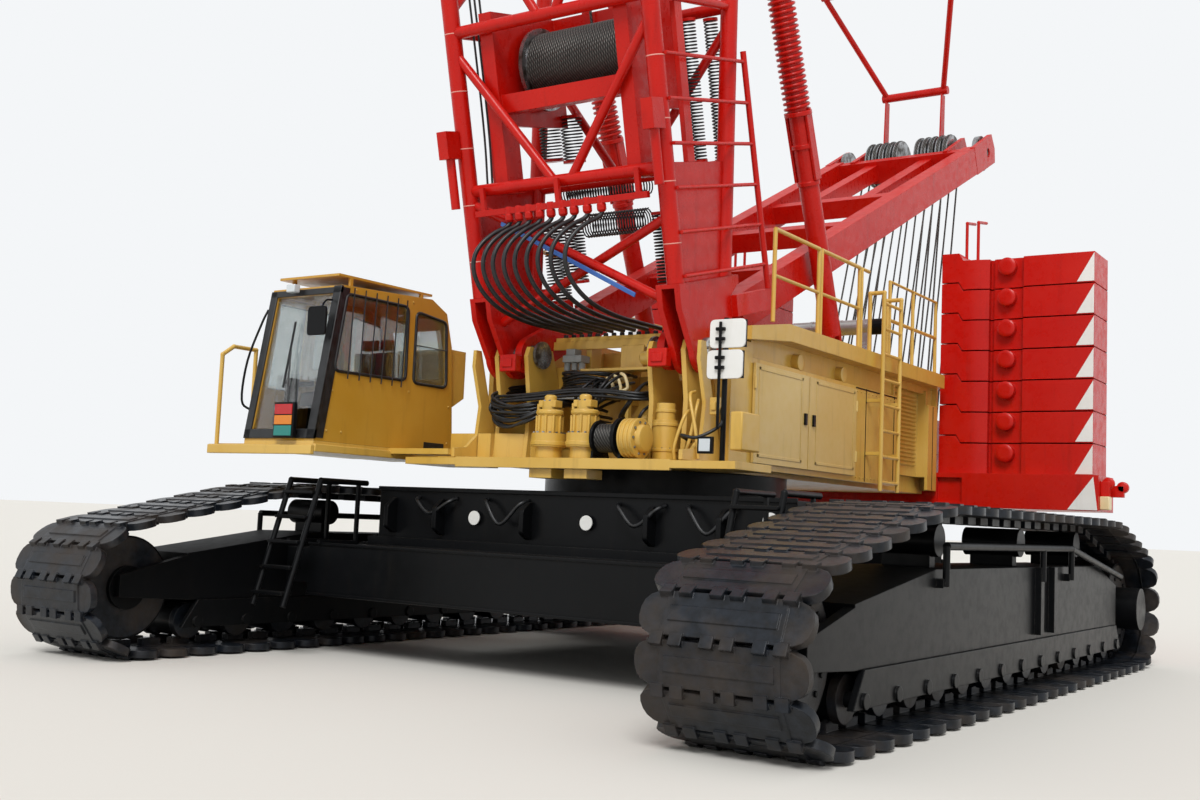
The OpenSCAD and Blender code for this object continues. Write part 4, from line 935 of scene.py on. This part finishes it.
def doorTrim(y0, y1):
    band, top = door["band"], door["high"] + door["band"]
    bars = ((y0, y1, door["low"], door["low"] + band), (y0, y1, door["high"], top),
            (y0, y0 + band, door["low"], top), (y1 - band, y1, door["low"], top))
    return [boxOf((door["face"], a, z0), (door["trim"], b, z1)) for a, b, z0, z1 in bars]


for label, y0, y1, grip in (("front", -0.78, 0.2, 0.24), ("rear", 0.53, 1.53, 0.44)):
    handle = boxOf((door["handle"][0], grip, 2.5), (door["handle"][1], grip + 0.05, 2.62))
    piece(f"{label}DoorHandle", [handle], "blackChassis", f"house_door_{label}", bevel=0.004)
    piece(f"{label}DoorPanel", doorTrim(y0, y1), "doorEnamel", f"house_door_{label}", bevel=0.002)

# House walls: louvres, seams, bolts and lifting eyes
house = {"wall": 1.44, "seams": (1.93, 2.78, 4.1), "seamX": (1.4405, 1.4445), "louvres": 18, "bolts": 11}
slats = [((side * 1.3, 3.425, 2.28 + 0.05 * k), (0, -side * 0.6, 0)) for side in (1, -1)
         for k in range(house["louvres"])]
row("houseLouvres", [boxOf((-0.022, -0.44, -0.002), (0.022, 0.44, 0.002))], slats, "ochreEnamel", "upper")
near, far = house["seamX"]
seams = [boxOf((near, y, 2.0), (far, y + 0.012, 3.05)) for y in house["seams"]]
seams.append(boxOf((near, 1.64, 3.03), (far, 2.86, 3.045)))
piece("houseSeams", bothSides(seams), "blackChassis", "upper", bevel=0)
rivets = [((side * house["wall"], 1.68 + 0.11 * k, z), (0, side * quarter, 0)) for side in (1, -1)
          for k in range(house["bolts"]) for z in (2.04, 3.0)]
row("houseBolts", hexBolt(0.011, 0.008), rivets, "ochreEnamel", "upper")
eye = [(0, 0.085), (0.075, 0.085), (0.08, 0.07), (0.08, 0.045)]
eyes = [turnedForm(0, (1.371, y, 3.14), eye) for y in (0.2, 1.29)]
piece("liftingEyes", bothSides(eyes), "ochreEnamel", "upper", bevel=0)

# Front corner of the house: lamps and two blank plates on a post
piece("cornerLampBox", [boxOf((1.78, -1.9, 2.1), (1.9, -1.55, 2.44))], "ochreEnamel", "upper", bevel=0.012)
piece("squareLampFrame", [boxOf((1.53, -2.03, 2.06), (1.68, -1.99, 2.21))], "blackChassis", "upper")
piece("squareLampLens", [boxOf((1.55, -2.036, 2.08), (1.66, -2.028, 2.19))], "clearLens", "upper", bevel=0.003)
blanks = [prism(1, -1.702, -1.681, rounded(corners(x, x + 0.362, z, z + 0.262), 0.05))
          for x, z in ((1.434, 3.034), (1.414, 2.754))]
piece("sidePlates", blanks, "whiteEnamel", "upper", bevel=0.004)
clamps = [boxOf((1.51, -1.735, z), (1.6, -1.703, z + 0.03)) for z in (3.1, 3.19, 2.84, 2.93)]
piece("plateClamps", clamps, "blackChassis", "upper", bevel=0.004)
tubes("platePost", [[(1.555, -1.722, 2.3), (1.555, -1.722, 3.27)]], 0.014, "blackChassis", "upper")

# House roof: exhaust, rails, hatches as (x0, x1, y0, y1) and vents
exhaust = {"place": (2.6, 3.87), "tipX": 1.2, "straps": (0.43, 0.8, 1.13), "radius": 0.095, "length": 0.22}
tip = [(0, 0.09), (0.003, exhaust["radius"]), (exhaust["length"], exhaust["radius"]),
       (exhaust["length"], 0.08), (0.1, 0.08)]
tipForm = turnedForm(0, (exhaust["tipX"], *exhaust["place"]), tip, 36)
piece("exhaustTip", [tipForm], "blackChassis", "upper", bevel=0)
straps = [collar(0, (x, *exhaust["place"]), 0.042, 0.09, 0.096, 0.002, 36) for x in exhaust["straps"]]
piece("exhaustStraps", straps, "aluminisedSteel", "upper", bevel=0)
rail = {"x": 1.45, "foot": 3.461, "middle": 3.93, "top": 4.39}
railLines = [[(1.70, rail["foot"]), (1.70, rail["top"]), (1.9, rail["top"])],
             [(2.55, rail["foot"]), (2.55, rail["top"]), (4.1, rail["top"]), (4.1, rail["foot"])],
             [(2.55, rail["middle"]), (4.1, rail["middle"])], [(3.3, rail["foot"]), (3.3, rail["top"])]]
railLines = [[(rail["x"], y, z) for y, z in line] for line in railLines]
tubes("houseRails", railLines, 0.022, "ochreEnamel", "upper")
hatch = {"floor": 3.33, "lip": 0.03, "inset": 0.12, "bolts": 6, "gripHalf": 0.09,
         "plots": [(-0.98, -0.08, 0.62, 2.15), (0.08, 0.98, 0.62, 2.15), (-0.98, -0.08, 2.9, 4.02),
                   (0.08, 0.98, 2.9, 4.02)]}
hatchForms, hatchBolts, hatchGrips = [], [], []
for x0, x1, y0, y1 in hatch["plots"]:
    floor, inset, half = hatch["floor"], hatch["inset"], hatch["gripHalf"]
    hatchForms.append(boxOf((x0, y0, floor - 0.002), (x1, y1, floor + hatch["lip"])))
    hatchForms.append(boxOf((x0 + inset, y0 + inset, floor + 0.02), (x1 - inset, y1 - inset, floor + 0.045)))
    hatchBolts += [((x0 + 0.05 + (x1 - x0 - 0.1) * k / 5, y, floor + hatch["lip"]), origin)
                   for y in (y0 + 0.05, y1 - 0.05) for k in range(hatch["bolts"])]
    middle, top = (x0 + x1) / 2, floor + 0.044
    hatchGrips += [[(middle - half, y, top), (middle - half, y, top + 0.05), (middle + half, y, top + 0.05),
                    (middle + half, y, top)] for y in (y0 + 0.25, y1 - 0.25)]
piece("roofHatches", hatchForms, "ochreEnamel", "upper", bevel=0.008)
row("roofBolts", hexBolt(0.014, 0.012), hatchBolts, "greasedSteel", "upper")
tubes("roofGrips", hatchGrips, 0.009, "blackChassis", "upper", sides=8)
cowl = [(0, 0.1), (0.08, 0.1), (0.082, 0.17), (0.11, 0.17), (0.15, 0.09)]
vents = [turnedForm(2, (x, 2.5, hatch["floor"] - 0.002), cowl) for x in (-0.75, -0.3)]
piece("roofVents", vents, "ochreEnamel", "upper", bevel=0)
print("house finished")


# Cab: seals round its windows, its windscreen frame and wiper
cab = {"outer": -3.12, "inner": -2.14, "tilt": 0.26 / 1.57, "screenFoot": (-3.06, 2.09)}


def screenY(z, out=0.0):
    return cab["screenFoot"][0] + (z - cab["screenFoot"][1]) * cab["tilt"] - out


def onScreen(z0, z1, out0, out1):
    return [(screenY(z0, out0), z0), (screenY(z1, out0), z1), (screenY(z1, out1), z1), (screenY(z0, out1), z0)]


sideWindows = [rounded([(-2.85, 2.795), (-1.81, 2.81), (-1.82, 3.59), (-2.725, 3.58)]),
               rounded([(-1.69, 2.8), (-1.155, 2.8), (-1.205, 3.51), (-1.69, 3.56)])]
sealLines = [[(cab["inner"] + 0.002, y, z) for y, z in line] for line in sideWindows]
sealLines.append([(cab["outer"] + 0.013, y, z) for y, z in sideWindows[1]])  # low, the door slides past it
tubes("windowSeals", sealLines, 0.017, "hoseRubber", "upper", sides=8, closed=True)
doorWindow = rounded([(-2.82, 2.64), (-1.87, 2.64), (-1.87, 3.54), (-2.68, 3.54)], 0.03)
doorLine = [(cab["outer"] - 0.046, y, z) for y, z in doorWindow]
tubes("doorSeal", [doorLine], 0.015, "hoseRubber", "cab_door", sides=8, closed=True)
bars = ((-3.128, -3.035, 2.11, 3.64), (-2.235, -2.128, 2.11, 3.655), (-3.128, -2.128, 2.11, 2.205),
        (-3.128, -2.128, 3.575, 3.64))
screenFrame = [prism(0, x0, x1, onScreen(z0, z1, -0.02, 0.018)) for x0, x1, z0, z1 in bars]
piece("screenFrame", screenFrame, "hoseRubber", "upper")
trimLine = onScreen(2.12, 3.64, -0.11, 0.01)
pillarTrim = [prism(0, x - 0.006, x + 0.006, trimLine) for x in (cab["inner"] + 0.004, cab["outer"] - 0.004)]
piece("pillarTrim", pillarTrim, "hoseRubber", "upper", bevel=0)
wiperLine = [(x, screenY(z, out), z)
             for x, z, out in ((-2.5, 2.22, 0.03), (-2.62, 2.75, 0.035), (-2.66, 3.0, 0.03))]
tubes("wiperArm", [wiperLine], 0.009, "hoseRubber", "upper", sides=8)
blade = [[(x, screenY(z, out), z) for z in (2.62, 3.3)] for x, out in ((-2.68, 0.028), (-2.672, 0.022))]
tubes("wiperBlade", blade, 0.007, "hoseRubber", "upper", sides=6)

# Outside of the cab: guard bars, grab rail, mirror, lamps, bolts, skirt and walkway treads
guardX = cab["inner"] + 0.03
guardBars = [[(guardX, y, 2.73), (guardX, y + 0.03, 3.65)] for y in (-2.68, -2.52, -2.36, -2.2, -2.04, -1.9)]
guardBars += [[(cab["inner"] + 0.02, -1.68, 3.2), (cab["inner"] + 0.02, -1.19, 3.2)]]
tubes("windowBars", guardBars, 0.007, "hoseRubber", "upper", sides=6)
grabRail = [(-3.15, -2.98, 2.4), (-3.2, -3.06, 2.5), (-3.2, -3.02, 2.9), (-3.16, -2.9, 3.3),
            (-3.14, -2.84, 3.45)]
tubes("cabGrabRails", [curved(grabRail, 5)], 0.012, "blackChassis", "upper", sides=10)
mirror = prism(1, -3.01, -2.985, rounded(corners(-2.38, -2.13, 3.13, 3.42), 0.04))
piece("cabMirror", [mirror], "blackChassis", "upper", bevel=0.004)
mirrorArm = curved([(-2.2, -2.86, 3.5), (-2.2, -2.95, 3.48), (-2.24, -2.98, 3.38)], 4)
tubes("cabMirrorArm", [mirrorArm], 0.01, "blackChassis", "upper")
lampFrame = boxOf((-2.63, -3.14, 2.11), (-2.35, -3.09, 2.46))
piece("frontLampFrame", [lampFrame], "blackChassis", "upper", bevel=0.008)
for label, low, high in (("Red", 2.34, 2.44), ("Amber", 2.24, 2.33), ("Teal", 2.13, 2.23)):
    lens = boxOf((-2.61, -3.148, low), (-2.37, -3.138, high))
    piece(f"frontLamp{label}", [lens], f"{label.lower()}Lens", "upper", bevel=0.003)
piece("roofLamp", [boxOf((-2.8, -2.93, 3.6), (-2.68, -2.85, 3.68))], "clearLens", "upper", bevel=0.01)
slot = boxOf((cab["inner"], -1.47, 2.12), (cab["inner"] + 0.006, -1.15, 2.19))
piece("cabSideSlot", [slot], "hoseRubber", "upper", bevel=0.002)
boltSpots = ((-2.9, 2.2), (-2.7, 2.2), (-1.1, 2.2), (-1.1, 2.6), (-2.85, 2.6), (-1.75, 2.7), (-1.75, 3.65),
             (-2.6, 3.64))
cabBolts = [((cab["inner"], y, z), (0, quarter, 0)) for y, z in boltSpots]
row("cabBolts", hexBolt(0.012, 0.008), cabBolts, "ochreEnamel", "upper")
skirt = [boxOf((-3.62, -3.11, 1.955), (-2.12, -3.06, 2.045)), boxOf((-2.15, -3.06, 1.985), (-2.11, -1.0, 2.06))]
piece("cabSkirt", skirt, "ochreEnamel", "upper")
treads = [((-3.39, -2.98 + 0.07 * k, 2.056), origin) for k in range(28)]
row("walkwayTreads", [boxOf((-0.21, -0.008, -0.005), (0.21, 0.008, 0.006))], treads, "ochreEnamel", "upper")


# Seat and controls: a crowned pad pulls in between its corners and has two stitched grooves
seat = {"pull": 0.05, "groove": 0.12, "grooveAt": 0.5, "grooveWidth": 0.07, "fill": 0.7, "cuts": 7}


def cushion(name, low, high, crown):
    centre = (Vector(low) + Vector(high)) / 2
    half = (Vector(high) - Vector(low)) / 2
    body = bmesh.new()
    bmesh.ops.create_cube(body, size=2)
    bmesh.ops.subdivide_edges(body, edges=body.edges, cuts=seat["cuts"], use_grid_fill=True)
    thin = min(range(3), key=lambda i: half[i])
    wide, long = [i for i in range(3) if i != thin]
    for vertex in body.verts:
        p = vertex.co.copy()
        a, b = 1 - p[wide] ** 2, 1 - p[long] ** 2
        pull = 1 - seat["pull"] * a * abs(p[long]) ** 8 - seat["pull"] * b * abs(p[wide]) ** 8
        groove = seat["groove"] * math.exp(-((abs(p[wide]) - seat["grooveAt"]) / seat["grooveWidth"]) ** 2)
        swell = 1 + crown * a * b - groove
        vertex.co = Vector([centre[i] + half[i] * p[i] * (swell if i == thin else pull) for i in range(3)])
    mesh = smoothMesh(name, body)
    mesh.materials.append(finishes["seatCloth"])
    thing = linked(name, mesh)
    rounder = thing.modifiers.new("round", "SUBSURF")
    rounder.levels = rounder.render_levels = 1
    return kept(thing, "upper")


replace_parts(cushion("seatPad", (-2.88, -2.25, 2.42), (-2.4, -1.78, 2.56), 0.25), "cab_seat")
cushion("seatBack", (-2.86, -1.86, 2.58), (-2.42, -1.74, 3.12), 0.2)
cushion("headRest", (-2.76, -1.85, 3.14), (-2.52, -1.76, 3.25), 0.2)
seatBase = [boxOf((-2.8, -2.15, 2.141), (-2.48, -1.85, 2.42)), boxOf((-2.84, -1.76, 2.45), (-2.44, -1.72, 3.1)),
            boxOf((-2.98, -2.7, 2.141), (-2.9, -2.25, 2.76)), boxOf((-2.94, -2.2, 2.62), (-2.89, -1.9, 2.68)),
            boxOf((-2.4, -2.2, 2.62), (-2.34, -1.9, 2.68)), boxOf((-2.38, -2.6, 2.141), (-2.24, -2.2, 2.6))]
piece("seatFrame", seatBase, "blackChassis", "upper", bevel=0.01)
levers = [[(x, y, 2.6), (x, y - 0.03, 2.8)] for x in (-2.34, -2.29, -2.93) for y in (-2.5, -2.4, -2.3)]
tubes("controlLevers", levers, 0.009, "hoseRubber", "upper", sides=8)
print("cab furnished")


# Counterweights: white corner triangles, lifting bosses and the joints between slabs, hooks on the tray
weights = {"slabs": 7, "height": 0.394, "low": 2.23, "tail": 6.05, "proud": 0.0112, "joint": 0.014,
           "steps": ((1.43, 1.64, 0.1), (1.7, 3.325, 0))}
slabFeet = [weights["low"] + k * weights["height"] for k in range(weights["slabs"])]
flags = [prism(1, 4.3955, 4.3995, [(3.12, z + 0.012), (3.327, z + 0.012), (3.327, z + 0.366)])
         for z in slabFeet]
flags.append(prism(1, 4.2955, 4.2995, [(3.06, 1.81), (3.41, 1.81), (3.36, 2.21)]))
piece("weightFlags", bothSides(flags), "whiteEnamel", "upper", bevel=0)
boss = [(0, 0.06), (0, 0.09), (0.013, 0.112), (0.02, 0.112)]
bosses = [turnedForm(1, (2.265, 4.362, z + 0.262), boss) for z in slabFeet]
piece("weightBosses", bothSides(bosses), "redEnamel", "upper", bevel=0)
joints = []
for foot in slabFeet[1:]:
    for x0, x1, rise in weights["steps"]:
        across = [x0 + (x1 - x0) * i / 12 for i in range(13)]
        sides = ((weights["tail"] + weights["proud"], across), (weights["tail"], across[::-1]))
        outline = [(x, math.sqrt(radius ** 2 - x * x)) for radius, line in sides for x in line]
        joints.append(prism(2, foot - 0.016 + rise, foot - 0.016 + rise + weights["joint"], outline))
piece("weightJoints", bothSides(joints), "hoseRubber", "upper", bevel=0)
hooks = [collar(1, place, 0.08, 0.05, 0.07, 0.01, 24) for place in ((3.5, 4.42, 2.14), (3.62, 4.62, 2.1))]
hooks += [boxOf((3.42, 4.4, 1.98), (3.52, 4.5, 2.16)), boxOf((3.42, 4.62, 1.98), (3.64, 4.68, 2.12))]
piece("trayHooks", bothSides(hooks), "redEnamel", "upper")
bracket = boxOf((3.42, 4.36, 1.82), (3.53, 4.5, 1.98))
piece("trayBrackets", bothSides([bracket]), "creamPipe", "upper", bevel=0.01)
print("counterweights marked")


# Steps: treads of the carbody ladders
ladder = {"treads": 5, "y": -3.15, "run": 0.4, "z": 0.48, "rise": 1.235, "width": 0.42, "left": (-2.74, 2.32)}
treadForms = []
for x in ladder["left"]:
    for k in range(ladder["treads"]):
        share = (k + 0.5) / ladder["treads"]
        y, z = ladder["y"] + ladder["run"] * share, ladder["z"] + ladder["rise"] * share
        treadForms.append(boxOf((x, y - 0.07, z - 0.012), (x + ladder["width"], y + 0.07, z + 0.018)))
piece("stepTreads", treadForms, "blackChassis", "root", bevel=0.004)


# Floor, sky and sun
stageLight = {"floor": "#E4E1DA", "reach": 330, "sides": 96, "sky": "#F4F6F8", "fill": 0.62, "sun": 2.0,
              "softness": 25, "from": (0.3, -0.65, 0.7)}


def studioFloor(tree):
    return {"Base Color": colour(stageLight["floor"]), "Roughness": 0.9}


def makeFloor():
    mesh = bpy.data.meshes.new("floor")
    edge = [(x, y, 0) for x, y in onCircle(stageLight["reach"], stageLight["sides"])]
    mesh.from_pydata(edge, [], [tuple(range(stageLight["sides"]))])
    floor = linked("floor", mesh)
    mesh.materials.append(newFinish(studioFloor))


def makeSky():  # a pale sky for the camera, reflections and glass, a weaker fill on the surfaces
    world = bpy.context.scene.world or bpy.data.worlds.new("world")
    bpy.context.scene.world = world
    world.use_nodes = True
    tree = world.node_tree
    tree.nodes.clear()
    rays = addNode(tree, "ShaderNodeLightPath").outputs
    seen = counted(tree, "MAXIMUM", rays["Is Camera Ray"], rays["Is Glossy Ray"])
    seen = counted(tree, "MAXIMUM", seen, rays["Is Transmission Ray"])
    lit = addNode(tree, "ShaderNodeBackground", {"Color": colour("#FFFFFF"), "Strength": stageLight["fill"]})
    shown = addNode(tree, "ShaderNodeBackground", {"Color": colour(stageLight["sky"]), "Strength": 1})
    blend = addNode(tree, "ShaderNodeMixShader", {0: seen, 1: lit.outputs[0], 2: shown.outputs[0]})
    addNode(tree, "ShaderNodeOutputWorld", {"Surface": blend.outputs[0]})


def makeSun():
    sun = bpy.data.lights.new("sun", "SUN")
    sun.energy, sun.angle = stageLight["sun"], math.radians(stageLight["softness"])
    lamp = linked("sun", sun)
    lamp.rotation_euler = Vector(stageLight["from"]).to_track_quat("Z", "Y").to_euler()


makeFloor()
makeSky()
makeSun()
bpy.context.scene.view_settings.view_transform = "Standard"
print("stage lit")
